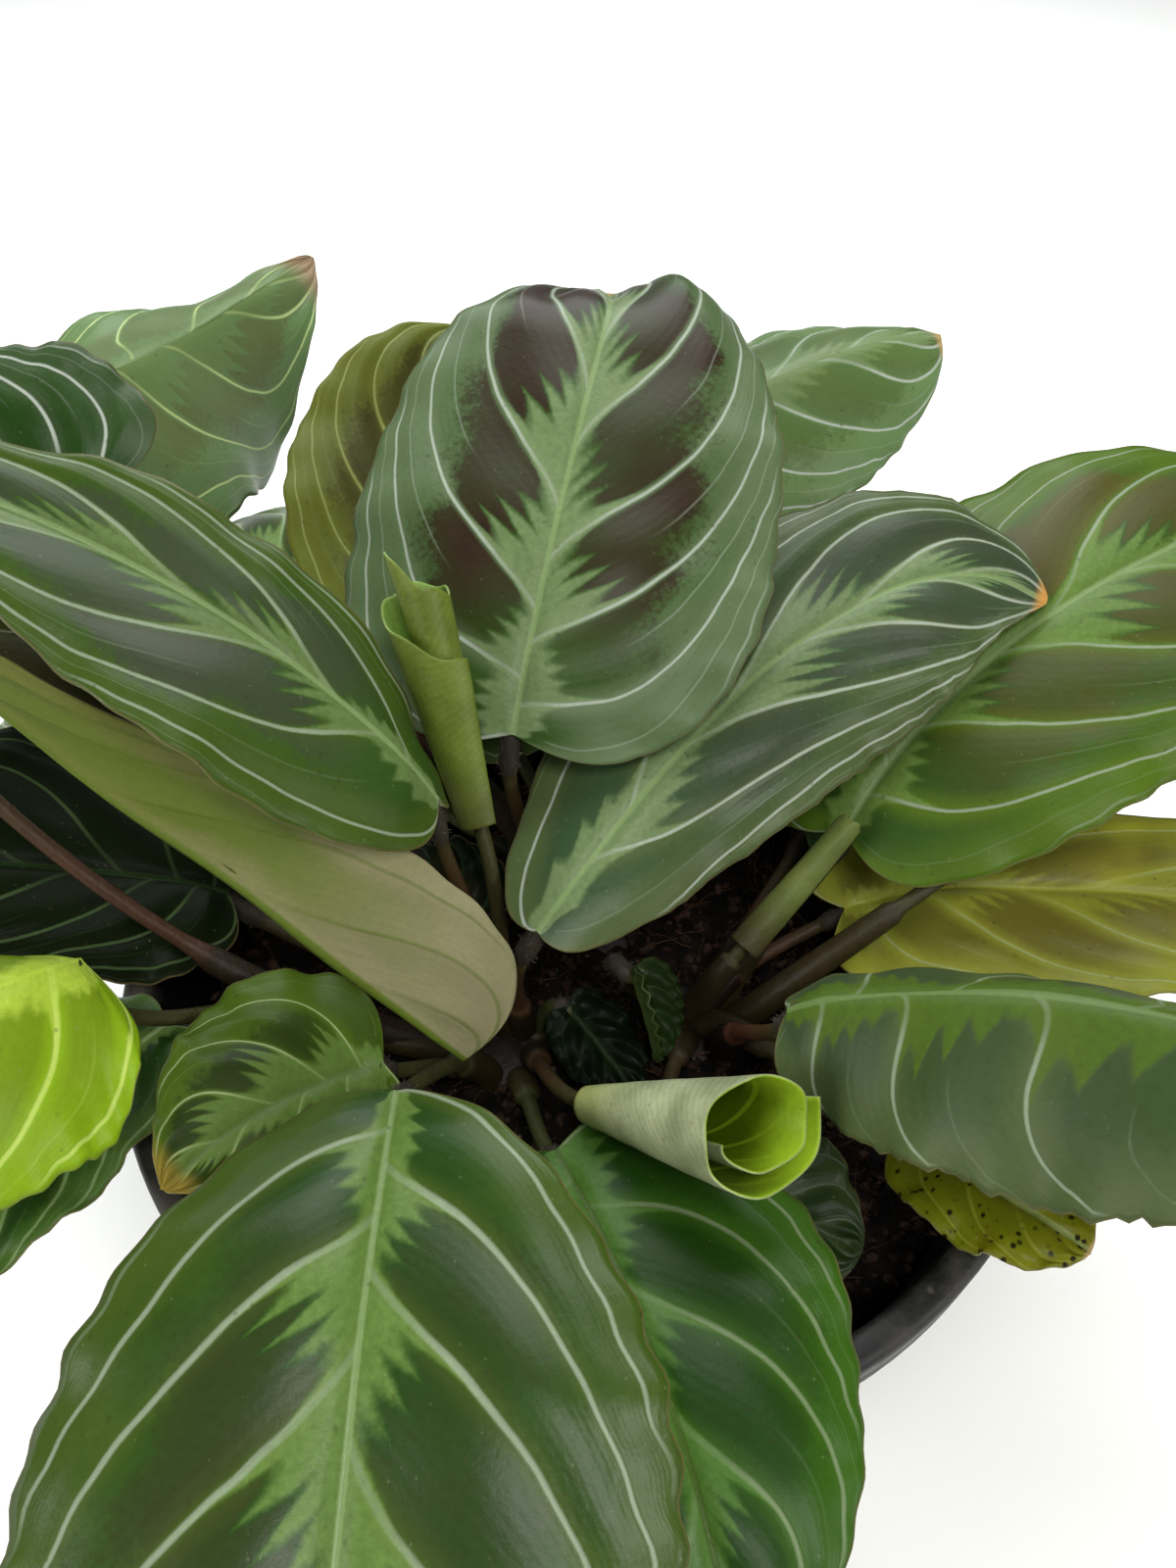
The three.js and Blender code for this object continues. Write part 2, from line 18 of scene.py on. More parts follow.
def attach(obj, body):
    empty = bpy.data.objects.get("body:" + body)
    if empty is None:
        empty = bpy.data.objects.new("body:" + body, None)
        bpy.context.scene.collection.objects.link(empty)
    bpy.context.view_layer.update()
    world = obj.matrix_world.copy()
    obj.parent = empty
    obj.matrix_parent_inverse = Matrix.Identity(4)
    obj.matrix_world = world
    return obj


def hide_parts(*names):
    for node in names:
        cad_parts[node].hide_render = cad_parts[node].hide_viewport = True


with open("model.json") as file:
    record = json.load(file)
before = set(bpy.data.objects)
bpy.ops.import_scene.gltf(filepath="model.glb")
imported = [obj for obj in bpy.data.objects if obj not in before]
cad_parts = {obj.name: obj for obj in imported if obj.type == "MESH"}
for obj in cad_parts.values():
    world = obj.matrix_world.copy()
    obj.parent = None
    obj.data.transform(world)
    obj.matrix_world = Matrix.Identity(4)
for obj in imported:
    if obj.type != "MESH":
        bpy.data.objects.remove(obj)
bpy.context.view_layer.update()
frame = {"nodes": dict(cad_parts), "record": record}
print("solids in the frame:", len(frame["nodes"]))

# %% [markdown]
# The photograph looks down on the plant from just above its front edge, so the nearest leaves
# look large. A lens of 28 mm on a 36 mm tall picture, 242 mm above the table, gives that view.

# %% Camera
CAMERA_PLACE = (0.0, -0.104, 0.242)
CAMERA_TILT = 43.7
LENS = 28.125
LONG_SIDE = 36.0


def placed(name, data):
    """A new object of the scene that holds the data."""
    made = bpy.data.objects.new(name, data)
    bpy.context.scene.collection.objects.link(made)
    return made


camera_data = bpy.data.cameras.new("camera")
camera_data.lens = LENS
camera_data.sensor_width = LONG_SIDE
camera_data.clip_start = 0.005
camera = placed("camera", camera_data)
camera.location = CAMERA_PLACE
camera.rotation_euler = (math.radians(CAMERA_TILT), 0, 0)
bpy.context.scene.camera = camera
print("camera height in mm:", 1000 * CAMERA_PLACE[2])

# %% [markdown]
# Two large soft lights stand behind and above the plant, like a window, and three smaller ones
# fill in from the front and the sides. Leaves that lean back towards the window turn pale and
# silky, and those that hang towards the viewer stay deep green. A pale sky rounds it off.

# %% Lights and sky
def soft_light(name, place, aim, size, power, color):
    data = bpy.data.lights.new(name, "AREA")
    data.shape = "RECTANGLE"
    data.size = size[0]
    data.size_y = size[1]
    data.energy = power
    data.color = color
    lamp = placed(name, data)
    lamp.location = place
    lamp.rotation_mode = "QUATERNION"
    lamp.rotation_quaternion = (Vector(aim) - Vector(place)).to_track_quat("-Z", "Y")


soft_light("window", (-0.15, 0.75, 0.75), (0, 0.02, 0.1), (0.9, 0.6), 8.0, (0.94, 0.98, 1.0))
soft_light("overhead", (0.1, 0.55, 1.15), (0, 0, 0.1), (0.6, 0.5), 5.0, (1.0, 1.0, 0.98))
soft_light("front_top", (0.15, -0.5, 1.1), (0, 0, 0.1), (0.4, 0.4), 7.0, (1.0, 0.99, 0.96))
soft_light("fill_left", (-0.9, -0.5, 0.6), (0, 0, 0.08), (0.5, 0.5), 7.0, (1.0, 0.99, 0.95))
soft_light("fill_right", (0.9, -0.6, 0.6), (0, 0, 0.08), (0.5, 0.5), 6.0, (1.0, 0.98, 0.94))

sky = bpy.data.worlds.new("sky")
sky.use_nodes = True
sky.node_tree.nodes["Background"].inputs["Color"].default_value = (1.0, 1.0, 0.98, 1.0)
sky.node_tree.nodes["Background"].inputs["Strength"].default_value = 0.16
bpy.context.scene.world = sky
bpy.context.scene.view_settings.view_transform = "Standard"

# %% [markdown]
# Shader maths reads best as plain sums. The small class below wraps one socket, so that an
# expression such as `1 - mask` adds the Math node it needs. Every other node comes from the
# graph's one `node` method: settings first, then the values or links of its sockets.

# %% Helpers for node trees
class Amount:
    def __init__(self, graph, socket):
        self.graph = graph
        self.socket = socket

    def maths(self, operation, *others):
        names = ("Value", "Value_001", "Value_002")
        sockets = dict(zip(names, (self,) + others))
        return self.graph.node("ShaderNodeMath", {"operation": operation}, sockets)

    def __add__(self, other):
        return self.maths("ADD", other)

    __radd__ = __add__

    def __sub__(self, other):
        return self.maths("SUBTRACT", other)

    def __rsub__(self, other):
        return (self * -1) + other

    def __mul__(self, other):
        return self.maths("MULTIPLY", other)

    __rmul__ = __mul__

    def __truediv__(self, other):
        return self.maths("DIVIDE", other)

    def __pow__(self, other):
        return self.maths("POWER", other)

    def __abs__(self):
        return self.maths("ABSOLUTE")

    def least(self, other):
        return self.maths("MINIMUM", other)

    def most(self, other):
        return self.maths("MAXIMUM", other)

    def rising(self, low, high):
        """0 below low, 1 above high and a smooth step between."""
        sockets = {"Value": self, "From Min": low, "From Max": high}
        settings = {"interpolation_type": "SMOOTHSTEP"}
        return self.graph.node("ShaderNodeMapRange", settings, sockets)

    def falling(self, low, high):
        return 1 - self.rising(low, high)

    def near(self, middle, reach):
        """1 at the middle value, fading to 0 at a reach from it."""
        return abs(self - middle).falling(0.35 * reach, reach)


class Graph:
    def __init__(self, tree):
        self.tree = tree

    def node(self, kind, settings=None, sockets=None, out=0):
        made = self.tree.nodes.new(kind)
        for key, value in (settings or {}).items():
            setattr(made, key, value)
        for key, value in (sockets or {}).items():
            socket = next(s for s in made.inputs if key in (s.identifier, s.name) and s.enabled)
            if isinstance(value, Amount):
                self.tree.links.new(value.socket, socket)
            else:
                socket.default_value = value
        outputs = [s for s in made.outputs if s.enabled and (out == 0 or s.name == out)]
        return Amount(self, outputs[0]) if outputs else made


def paint(code):
    """A colour from its six-digit code, as the linear numbers that the shader takes."""
    parts = [int(code[i:i + 2], 16) / 255 for i in (0, 2, 4)]
    linear = [p / 12.92 if p <= 0.04045 else ((p + 0.055) / 1.055) ** 2.4 for p in parts]
    return (*linear, 1.0)


class Finish(Graph):
    def __init__(self, name):
        self.material = bpy.data.materials.new(name)
        self.material.use_nodes = True
        super().__init__(self.material.node_tree)
        self.tree.nodes.clear()
        self.place = self.node("ShaderNodeTexCoord", out="Object")

    def attribute(self, name):
        return self.node("ShaderNodeAttribute", {"attribute_name": name}, out="Fac")

    def cloud(self, scale, detail=2.0, roughness=0.5, shift=(0, 0, 0), stretch=(1, 1, 1)):
        """Soft noise with a mean of about 0.5. scale is in cycles per metre."""
        sockets = {"Vector": self.place, "Location": shift, "Scale": stretch}
        place = self.node("ShaderNodeMapping", None, sockets)
        sockets = {"Vector": place, "Scale": scale, "Detail": detail, "Roughness": roughness}
        return self.node("ShaderNodeTexNoise", None, sockets, out="Fac")

    def specks(self, scale, size, share):
        """Small dots: 1 in each dot. size is a part of the spacing and share how many show."""
        sockets = {"Vector": self.place, "Scale": scale}
        away = self.node("ShaderNodeTexVoronoi", None, sockets, out="Distance")
        tone = self.node("ShaderNodeTexVoronoi", None, sockets, out="Color")
        pick = self.node("ShaderNodeSeparateColor", None, {"Color": tone}, out="Red")
        return away.falling(0.5 * size, size) * pick.rising(1 - share, 1 - 0.8 * share)

    def blend(self, factor, first, second):
        """The first colour at factor 0 and the second at 1. Either may be a colour code."""
        first, second = (paint(c) if isinstance(c, str) else c for c in (first, second))
        sockets = {"Factor_Float": factor, "A_Color": first, "B_Color": second}
        return self.node("ShaderNodeMix", {"data_type": "RGBA"}, sockets)

    def scaled(self, color, amount):
        sockets = {"Vector": color, "Scale": amount}
        return self.node("ShaderNodeVectorMath", {"operation": "SCALE"}, sockets)

    def surface(self, color, roughness, height, distance, strength=0.5, **constants):
        sockets = {"Height": height, "Distance": distance, "Strength": strength}
        relief = self.node("ShaderNodeBump", None, sockets)
        sockets = {"Base Color": color, "Roughness": roughness, "Normal": relief}
        sockets.update({key.replace("_", " "): value for key, value in constants.items()})
        shader = self.node("ShaderNodeBsdfPrincipled", None, sockets)
        self.node("ShaderNodeOutputMaterial", None, {"Surface": shader})
        return self.material


# %% [markdown]
# The floor is a plain pale sheet that reaches far past the plant's shadow.

# %% Floor
REACH = 3.0

floor_finish = Finish("pale_floor")
floor_tone = floor_finish.cloud(3.0)
floor_color = floor_finish.blend(floor_tone, "f2f2f1", "f5f5f4")
floor_finish.surface(floor_color, 0.8 + 0.05 * floor_tone, floor_tone, 0.0005)
floor_mesh = bpy.data.meshes.new("floor")
floor_corners = [(-REACH, -REACH, 0), (REACH, -REACH, 0), (REACH, REACH, 0), (-REACH, REACH, 0)]
floor_mesh.from_pydata(floor_corners, [], [(0, 1, 2, 3)])
floor_mesh.materials.append(floor_finish.material)
floor = placed("floor", floor_mesh)
print("floor width in metres:", 2 * REACH)

# %% [markdown]
# A leaf blade is a thin sheet that follows a bent midrib. Its two halves fold up or hang from
# the rib, curl towards their edges and wave along them. The same few numbers shape the CAD
# solid, so the fine blade lies where the solid is: `base`, `mid` and `tip` are places along the
# midrib, `face` points out of the upper side, and angles come in pairs for the left and right.
# A stalk leaves its crown at `foot` along `lift`. What a row leaves out comes from the usual
# blade and the usual stalk.

# %% The leaves' shapes
USUAL_BLADE = dict(
    halves=(1, 1), taper=(0, 0), fold=(10, 10), foldBy=1, curl=(-25, -25), wave=(1, 3, 0),
    round=0.46, point=0.62, lobe=0.22, nod=12, nodFrom=0.65,
)
USUAL_STALK = dict(lift=(0, 0, 0.45), reach=0.3, approach=0.6, sheathEnd=0.42)
LEAVES = {
    "leaf_centre": dict(base=(-10, 13, 129), mid=(-3, 43, 149), tip=(8, 92, 167), width=62,
        face=(1, -9, 6), fold=(-14, 10), curl=(-26, -4), nod=75, nodFrom=0.74, round=0.42, point=0.55,
        lobe=0.12, on="crown_back", foot=(-5, -3)),
    "leaf_right_long": dict(base=(-6.5, -9, 115), mid=(34, 32, 133), tip=(67, 37, 135), width=42,
        halves=(1, 0.95), face=(2, -3, 9), fold=(-22, 2), foldAtTip=(0, 2), curl=(-5, -20), round=0.66,
        point=0.8, lobe=0.1, on="crown_left", foot=(3, 2)),
    "leaf_left_long": dict(base=(-18.5, -1, 131.5), mid=(-46, 11, 153), tip=(-92, 26, 167), width=42,
        halves=(1, 0.56), taper=(0.5, 0), face=(0, 0, 1), fold=(5, -50), foldAtTip=(5, 20), foldBy=0.45,
        curl=(-20, -10), round=0.6, on="crown_left", foot=(0, 4)),
    "leaf_half_open": dict(base=(-95, 18, 153), mid=(-54, -5, 133), tip=(-14, -22, 106), width=44,
        halves=(1, 0.3), taper=(0.5, -3.4), face=(0, -1, 6), fold=(-10, 80), foldAtTip=(10, 125),
        foldBy=0.6, curl=(0, 30), point=0.42, on="crown_left", foot=(4, 3), lift=(-0.41, -0.2, 0.25),
        reach=0.15),
    "leaf_front": dict(base=(-23, -29, 110), mid=(-24, -69, 108), tip=(-25, -113, 89), width=68,
        face=(0, 0, 1), curl=(-14, -30), round=0.78, lobe=0.07, on="crown_left", foot=(-2, -5)),
    "leaf_front_right": dict(base=(-4, -31, 99), mid=(8, -60, 104), tip=(15, -88, 98), width=50,
        taper=(0.3, 0), face=(1, 0, 9), fold=(8, -8), curl=(-12, -4), on="crown_left", foot=(2, -5)),
    "leaf_front_small": dict(base=(11, -28, 94.5), mid=(22, -36, 95.5), tip=(33.5, -42, 95.5), width=25,
        face=(1, -3, 9), fold=(5, 5), on="crown_right", foot=(0, -2), lift=(0, 0, 0.6)),
    "leaf_right_near": dict(base=(24, -22, 117), mid=(52, -33, 135), tip=(90, -57, 149), width=54,
        halves=(1, 0.8), face=(1, -1, 9), fold=(-42, -20), curl=(-20, -20), round=0.52, point=0.52,
        on="crown_right", foot=(4, -4)),
    "leaf_right_back": dict(base=(37, 13, 110), mid=(67, 37, 130), tip=(115, 57, 139), width=64,
        halves=(0.85, 0.93), face=(-2, -4, 9), fold=(-5, 10), curl=(-15, -15), round=0.55,
        on="crown_right", foot=(4, 3)),
    "leaf_right_yellow": dict(base=(38, 8, 98), mid=(66, 7, 104), tip=(112, -3, 108), width=38,
        halves=(0.8, 1), face=(0, -3, 9), fold=(0, 14), curl=(-15, -5), on="crown_right", foot=(1, 1),
        lift=(0, 0, 0.6)),
    "leaf_rim_yellow": dict(base=(42, -28.5, 96), mid=(49, -39.5, 105), tip=(56, -47.5, 108), width=17,
        face=(0, -2, 9), fold=(5, 5), on="crown_right", foot=(1, 0), lift=(0, 0, 0.6)),
    "leaf_left_arched": dict(base=(-76, 60, 154), mid=(-67, 93, 146), tip=(-52, 133, 143.5), width=66,
        taper=(0.65, 0.2), face=(5, 0, 9), fold=(-35, -35), curl=(-20, -20), wave=(5.5, 2.08, 0.8),
        point=0.85, on="crown_back", foot=(-5, 1), approach=2, reach=0.2),
    "leaf_left_dark": dict(base=(-65.5, 41, 148), mid=(-83, 42, 152), tip=(-111, 42, 157), width=36,
        halves=(0.8, 1.05), face=(1, 0, 9), fold=(-20, 45), curl=(-20, -15), round=0.36, on="crown_back",
        foot=(-5, -2)),
    "leaf_back_olive": dict(base=(-20, 44, 120), mid=(-28, 74, 129), tip=(-20, 109, 139), width=52,
        halves=(0.85, 1), face=(2, -6, 9), fold=(20, 20), on="crown_back", foot=(-3, 4)),
    "leaf_back_right": dict(base=(0, 60, 138), mid=(30, 83, 143), tip=(62, 100, 144), width=50,
        face=(2, -2, 9), fold=(-30, -20), curl=(-10, -20), on="crown_back", foot=(2, 4), approach=2,
        reach=0.2),
    "leaf_left_shaded": dict(base=(-52, 7, 103), mid=(-74, 6, 110), tip=(-111, 1, 117), width=46,
        halves=(0.75, 1.1), face=(0, -1, 9), fold=(5, 16), on="crown_left", foot=(-5, -1)),
    "leaf_left_bright": dict(base=(-60, -19, 123), mid=(-69, -30, 130), tip=(-92, -53, 136), width=46,
        face=(0, 0, 1), fold=(-30, -20), curl=(-20, -20), on="crown_left", foot=(3, 1),
        lift=(-0.27, 0.22, 0.32), reach=0.42),
    "leaf_left_front": dict(base=(-56, -15, 102.5), mid=(-66, -31, 103.5), tip=(-75, -49, 100), width=26,
        halves=(0.85, 1), face=(-2, -2, 9), fold=(0, 8), curl=(-10, -20), on="crown_left", foot=(1, -3),
        lift=(-0.28, 0, 0.34), reach=0.2),
    "leaf_front_left": dict(base=(-27, -19, 100), mid=(-39, -28, 105), tip=(-49, -40, 108), width=38,
        halves=(0.7, 0.98), face=(-1, -2, 9), fold=(-10, 6), curl=(-25, -20), point=0.9, on="crown_left",
        foot=(-4, -4)),
    "leaf_narrow": dict(base=(6.5, -5.5, 102), mid=(8.5, -10, 97), tip=(10, -14, 92), width=12,
        face=(8, -2, 4), fold=(30, 30), curl=(0, 0), wave=(0, 1, 0), on="crown_right", foot=(-4, 0)),
    "leaf_deep_front": dict(base=(-3, -7, 95), mid=(2, -12, 92), tip=(7, -18, 89), width=12,
        face=(1, -3, 9), fold=(5, 5), on="crown_left", foot=(4, 0)),
    "leaf_deep_left": dict(base=(-16, 5, 96), mid=(-23, 10, 98), tip=(-32, 17, 99), width=22,
        face=(0, -3, 9), on="crown_left", foot=(-1, 4)),
    "leaf_behind_right": dict(base=(13, 37, 104), mid=(30, 72, 110), tip=(52, 106, 96), width=50,
        face=(2, 3, 9), on="crown_back", foot=(4, 3)),
    "leaf_behind": dict(base=(-6, 40, 101), mid=(-6, 80, 104), tip=(-6, 118, 84), width=52,
        face=(0, 3, 9), on="crown_back", foot=(0, 5)),
    "leaf_behind_left": dict(base=(-30, 32, 106), mid=(-50, 66, 115), tip=(-76, 98, 104), width=50,
        face=(-2, 3, 9), on="crown_back", foot=(-4, 3)),
    "leaf_side_right": dict(base=(34, 24, 98), mid=(66, 52, 104), tip=(96, 78, 92), width=50,
        face=(1, 1, 9), on="crown_right", foot=(3, 4)),
    "leaf_side_left": dict(base=(-36, 26, 98), mid=(-68, 42, 106), tip=(-102, 58, 96), width=43,
        face=(-1, 1, 9), on="crown_left", foot=(-4, 3)),
    "leaf_far_right": dict(base=(84, 30, 115), mid=(110, 34, 120), tip=(138, 30, 113), width=38,
        face=(1, -1, 9), on="crown_right", foot=(1, -1), lift=(0.35, -0.05, 0.6), reach=0.2),
}
for leaf_name, row in LEAVES.items():
    fold = row.get("fold", USUAL_BLADE["fold"])
    LEAVES[leaf_name] = {**USUAL_BLADE, **USUAL_STALK, "foldAtTip": fold, **row}
print("leaf shapes:", len(LEAVES))

# %% [markdown]
# The young leaves are tight spirals. `radius` and `pitch` give the outer radius and the
# spacing of the wraps at the two ends, and `lip` the side where the open end is longest.

# %% The rolled leaves' shapes
ROLLS = {
    "roll_front": dict(start=(0, -26, 102), end=(19, -38.5, 118.5), radius=(2.8, 8.2), pitch=(1.1, 2.7),
        turns=1.5, seam=200, slant=2.5, lip=200, on="crown_left", foot=(4, -2)),
    "roll_upright": dict(start=(-14.2, 3.4, 122), end=(-20, 17.3, 141), radius=(3, 5.8), pitch=(1.3, 2.2),
        turns=1.3, seam=60, slant=3, lip=240, rise=12, on="crown_left", foot=(0, 2)),
    "roll_new": dict(start=(22, -1, 101), end=(37, 11, 114), radius=(2.5, 2), pitch=(0.9, 0.8), turns=1.6,
        seam=0, on="crown_right", foot=(0, 1), sheathEnd=0.8),
}
for roll_name, row in ROLLS.items():
    ROLLS[roll_name] = {"slant": 0, "lip": 0, "rise": 0, **USUAL_STALK, **row}
print("roll shapes:", len(ROLLS))

# %% [markdown]
# The outline of a blade rises steeply at its base and falls to its tip. The midrib is a smooth
# curve through three places, and the last part of the blade nods down along an arc.

# %% A blade's outline and midrib
def unit(rows):
    return rows / np.maximum(np.linalg.norm(rows, axis=-1, keepdims=True), 1e-12)


def outline(leaf, t):
    """The half width at t as a part of the widest one."""
    round_end, point = leaf["round"], leaf["point"]
    widest = round_end / (round_end + point)
    peak = widest ** round_end * (1 - widest) ** point
    return 0.03 + 0.97 * t ** round_end * (1 - t) ** point / peak


def midrib(leaf, s):
    """Place, direction, right and outward side of the midrib at s. Before 0 it runs straight."""
    base, mid, tip = (np.array(leaf[key], float) for key in ("base", "mid", "tip"))
    control = 2 * mid - (base + tip) / 2
    inside = np.clip(s, 0, 1)[..., None]
    place = (1 - inside) ** 2 * base + 2 * inside * (1 - inside) * control + inside ** 2 * tip
    along = unit((1 - inside) * (control - base) + inside * (tip - control))
    place = place + along * np.minimum(s, 0)[..., None] * np.linalg.norm(tip - base)
    right = unit(np.cross(along, np.array(leaf["face"], float)))
    out = np.cross(right, along)
    nod, nod_from = math.radians(leaf["nod"]), leaf["nodFrom"]
    length = np.linalg.norm(mid - base) + np.linalg.norm(tip - mid)
    bend = nod / ((1 - nod_from) * length)
    travel = np.maximum(s - nod_from, 0)[..., None] * length
    turn = bend * travel
    place = place + along * (np.sin(turn) / bend - travel) + out * (np.cos(turn) - 1) / bend
    bent = along * np.cos(turn) - out * np.sin(turn)
    return place, bent, right, out * np.cos(turn) + along * np.sin(turn)


# %% [markdown]
# A point of the sheet is given by `t`, from base to tip, and `x`, from the left edge at -1 to
# the right edge at 1. Each half is an arc of a circle that leaves the rib at the fold's angle.

# %% A point of a blade
def blade_sheet(leaf, t, x, trim):
    """The sheet's point at t and x, and how far it is from the rib. trim narrows the blade."""
    half = leaf["width"] / 2
    wide = outline(leaf, t)
    s = t - leaf["lobe"] * wide * (1 - t) ** 5 * np.abs(x) ** 1.4
    place, along, right, out = midrib(leaf, s)
    side = (x > 0).astype(int)
    keys = ("fold", "foldAtTip", "curl", "halves", "taper")
    fold, fold_at_tip, curl, share, taper = (np.array(leaf[key], float)[side] for key in keys)
    unfolded = np.minimum(t / leaf["foldBy"], 1)
    start = np.radians(fold + (fold_at_tip - fold) * unfolded)
    bend = np.radians(np.where(curl == 0, 0.1, curl)) / half
    share = share * (1 - taper * t * t)
    distance = np.abs(x) * half * wide * share * trim
    across = (np.sin(start + bend * distance) - np.sin(start)) / bend
    rise = (np.cos(start) - np.cos(start + bend * distance)) / bend
    height, count, shift = leaf["wave"]
    swing = np.sin(2 * math.pi * count * t + shift + 2 * side)
    rise = rise + height * x * x * np.sqrt(np.clip(np.sin(math.pi * t), 0, 1)) * swing
    point = place + right * (np.sign(x) * across)[..., None] + out * rise[..., None]
    return point, distance


# %% [markdown]
# Side veins leave the rib at a slant and bend towards the tip, close together at both ends of
# the blade and wide apart in its middle. `vein_count` numbers them: it is whole on a vein, and
# the quilted panels between the veins bulge by its fractions.

# %% Where the side veins run
def vein_count(look, t, x):
    """The number of the side vein through a point. Veins slant less near the blade's base."""
    near_base = 2.3 * t / (1 + (2.3 * t) ** 5) ** 0.2
    half = np.abs(x)
    leaving = 0.05 * (1 - np.exp(-half / 0.08))
    turning_up = 0.22 * half ** 4
    start = t - look["sweep"] * near_base * (leaving + look["lean"] * half + turning_up)
    return look["veins"] * (start + 0.05 * np.sin(2 * math.pi * start))


def vein_gap(points, count):
    """Millimetres from one side vein to the next, measured square to the veins."""
    down, over = np.gradient(points, axis=0), np.gradient(points, axis=1)
    count_down, count_over = np.gradient(count)
    e, f, g = ((a * b).sum(-1) for a, b in ((down, down), (down, over), (over, over)))
    slope = count_down ** 2 * g - 2 * count_down * count_over * f + count_over ** 2 * e
    slope = slope / np.maximum(e * g - f * f, 1e-9)
    return 1 / np.sqrt(np.maximum(slope, 1e-4))


def swell(rng, points, size, height):
    """Slow lumps: a sum of a few waves with directions of their own."""
    total = np.zeros(points.shape[:-1])
    for _ in range(6):
        direction = unit(rng.normal(size=3)) * rng.uniform(0.7, 1.4) / size
        total += np.sin(points @ direction * 2 * math.pi + rng.uniform(0, 6.3))
    return total * height / 2.5


# %% [markdown]
# Both faces of a sheet are grids of the same points, moved apart along the sheet's own
# direction outwards and joined round the rim. The mesh also carries what a leaf finish has to
# know at each point, such as how far along and across it is, as named attributes.

# %% Sheets with two faces
def outward(points):
    """The direction out of the sheet at each point of its grid."""
    ahead = np.concatenate([points[1:], points[-1:]]) - np.concatenate([points[:1], points[:-1]])
    right = np.concatenate([points[:, 1:], points[:, -1:]], 1)
    right = right - np.concatenate([points[:, :1], points[:, :-1]], 1)
    return unit(np.cross(right, ahead))


def sheet_faces(rows, columns):
    """Faces of the upper grid, the lower grid and the rim, all of them facing out."""
    index = np.arange((rows + 1) * (columns + 1)).reshape(rows + 1, columns + 1)
    a, b, c, d = index[:-1, :-1], index[:-1, 1:], index[1:, 1:], index[1:, :-1]
    upper = np.stack([a, b, c, d], -1).reshape(-1, 4)
    below = index.size
    lower = upper[:, ::-1] + below
    loop = np.concatenate([index[0, :0:-1], index[:-1, 0], index[-1, :-1], index[:0:-1, -1]])
    following = np.roll(loop, -1)
    rim = np.stack([loop, following, following + below, loop + below], -1)
    return np.concatenate([upper, lower]), rim


def make_mesh(name, points, faces, flat_faces=(), values=None):
    """A mesh object in metres from points in millimetres, with an attribute for each value."""
    mesh = bpy.data.meshes.new(name)
    every = [list(map(int, face)) for face in faces] + [list(map(int, face)) for face in flat_faces]
    mesh.from_pydata((np.asarray(points) * 0.001).tolist(), [], every)
    smooth = [True] * len(faces) + [False] * len(flat_faces)
    mesh.polygons.foreach_set("use_smooth", smooth)
    for key, numbers in (values or {}).items():
        attribute = mesh.attributes.new(key, "FLOAT", "POINT")
        attribute.data.foreach_set("value", np.asarray(numbers, np.float32).ravel())
    return placed(name, mesh)


def settle(piece, finish, slot, *nodes):
    """Gives a finished piece its material, its body and the solids that it stands for."""
    if finish is not None:
        piece.data.materials.clear()
        piece.data.materials.append(finish)
    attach(piece, "root")
    if nodes:
        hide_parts(*nodes)


# %% [markdown]
# Each leaf has a look of its own: how many side veins it has, how far the pale feather reaches
# from the rib, how strong the brown blotches are, and its colours. The colours carry painted
# light: a leaf that faces the window is painted greyer for its sheen, a shaded one is painted deep
# green to near black for its shade, and a leaf lit through from behind is painted bright; an
# ageing one is yellow of its own. What a leaf doesn't say comes from the plain look. Leaves of one
# plant share their pigments, so most colours are names from one small set of tones.
#
# - `veins` counts the side veins of a half, and `sweep` and `lean` slant them. `shift` staggers
#   the right half's veins, `vein_width` is in millimetres, and `between` is the strength of the
#   faint vein in the middle of a panel.
# - `quilt`, `ripple` and `humps` are relief, and `teeth` and `scallops` cut the margin.
# - `reach`, `hug` and `spike` shape the feather, and `blotches`, `patched`, `dots` and `spots`
#   are the strengths of the brown and yellow marks.
# - The other words are colours, but for `gloss`, which is a roughness, and `shine`.

# %% The leaves' looks
PLAIN = dict(
    veins=6.5, sweep=1.0, lean=0.31, shift=0.45, vein_width=0.32, between=0.1,
    quilt=0.75, ripple=0.35, humps=(), teeth=0.0, scallops=0.02,
    reach=0.07, hug=0.42, spike=1.0, blotches=0.5, patched=0.0, streak=0.0, dots=0.5, spots=0.0,
    outer="506836", deep="2e4c1d", feather="6d874e", vein="96a782", rib="829461", blotch="3f331f",
    margin="6a5c3e", tip="a08a5c", tip_length=0.02, patch="7f8f3f",
    under="818a61", under_pale="969e7b", under_tip="818a61", gloss=0.36, shine=0.12,
)
# Some tones also paint shade: night and shade darken the low leaves that lie under the others.
TONES = dict(
    night="0c1406", ink="16260a", pine="1c3a0c", forest="2b4416", spruce="30452a", fern="364a14",
    grass="445c16", slate="44522f", moss="4e6040", clover="486a2c", meadow="5c764a", lime="7d9f18",
    leek="5b7040", apple="5b7536", sage="687c52", pea="708656", mustard="787c28", young="a4bc40",
    mist="828f78", silver="98a294", frost="aab2a8", lichen="b0c282", straw="848b54",
    umber="2a1d13", peat="302a18", smoke="36392e", rust="503c1a", shade="2a361a", rind="323c0c",
    olive="4a5020", gold="5e640c", stone="7c785a", hay="848244", cress="50601e",
)
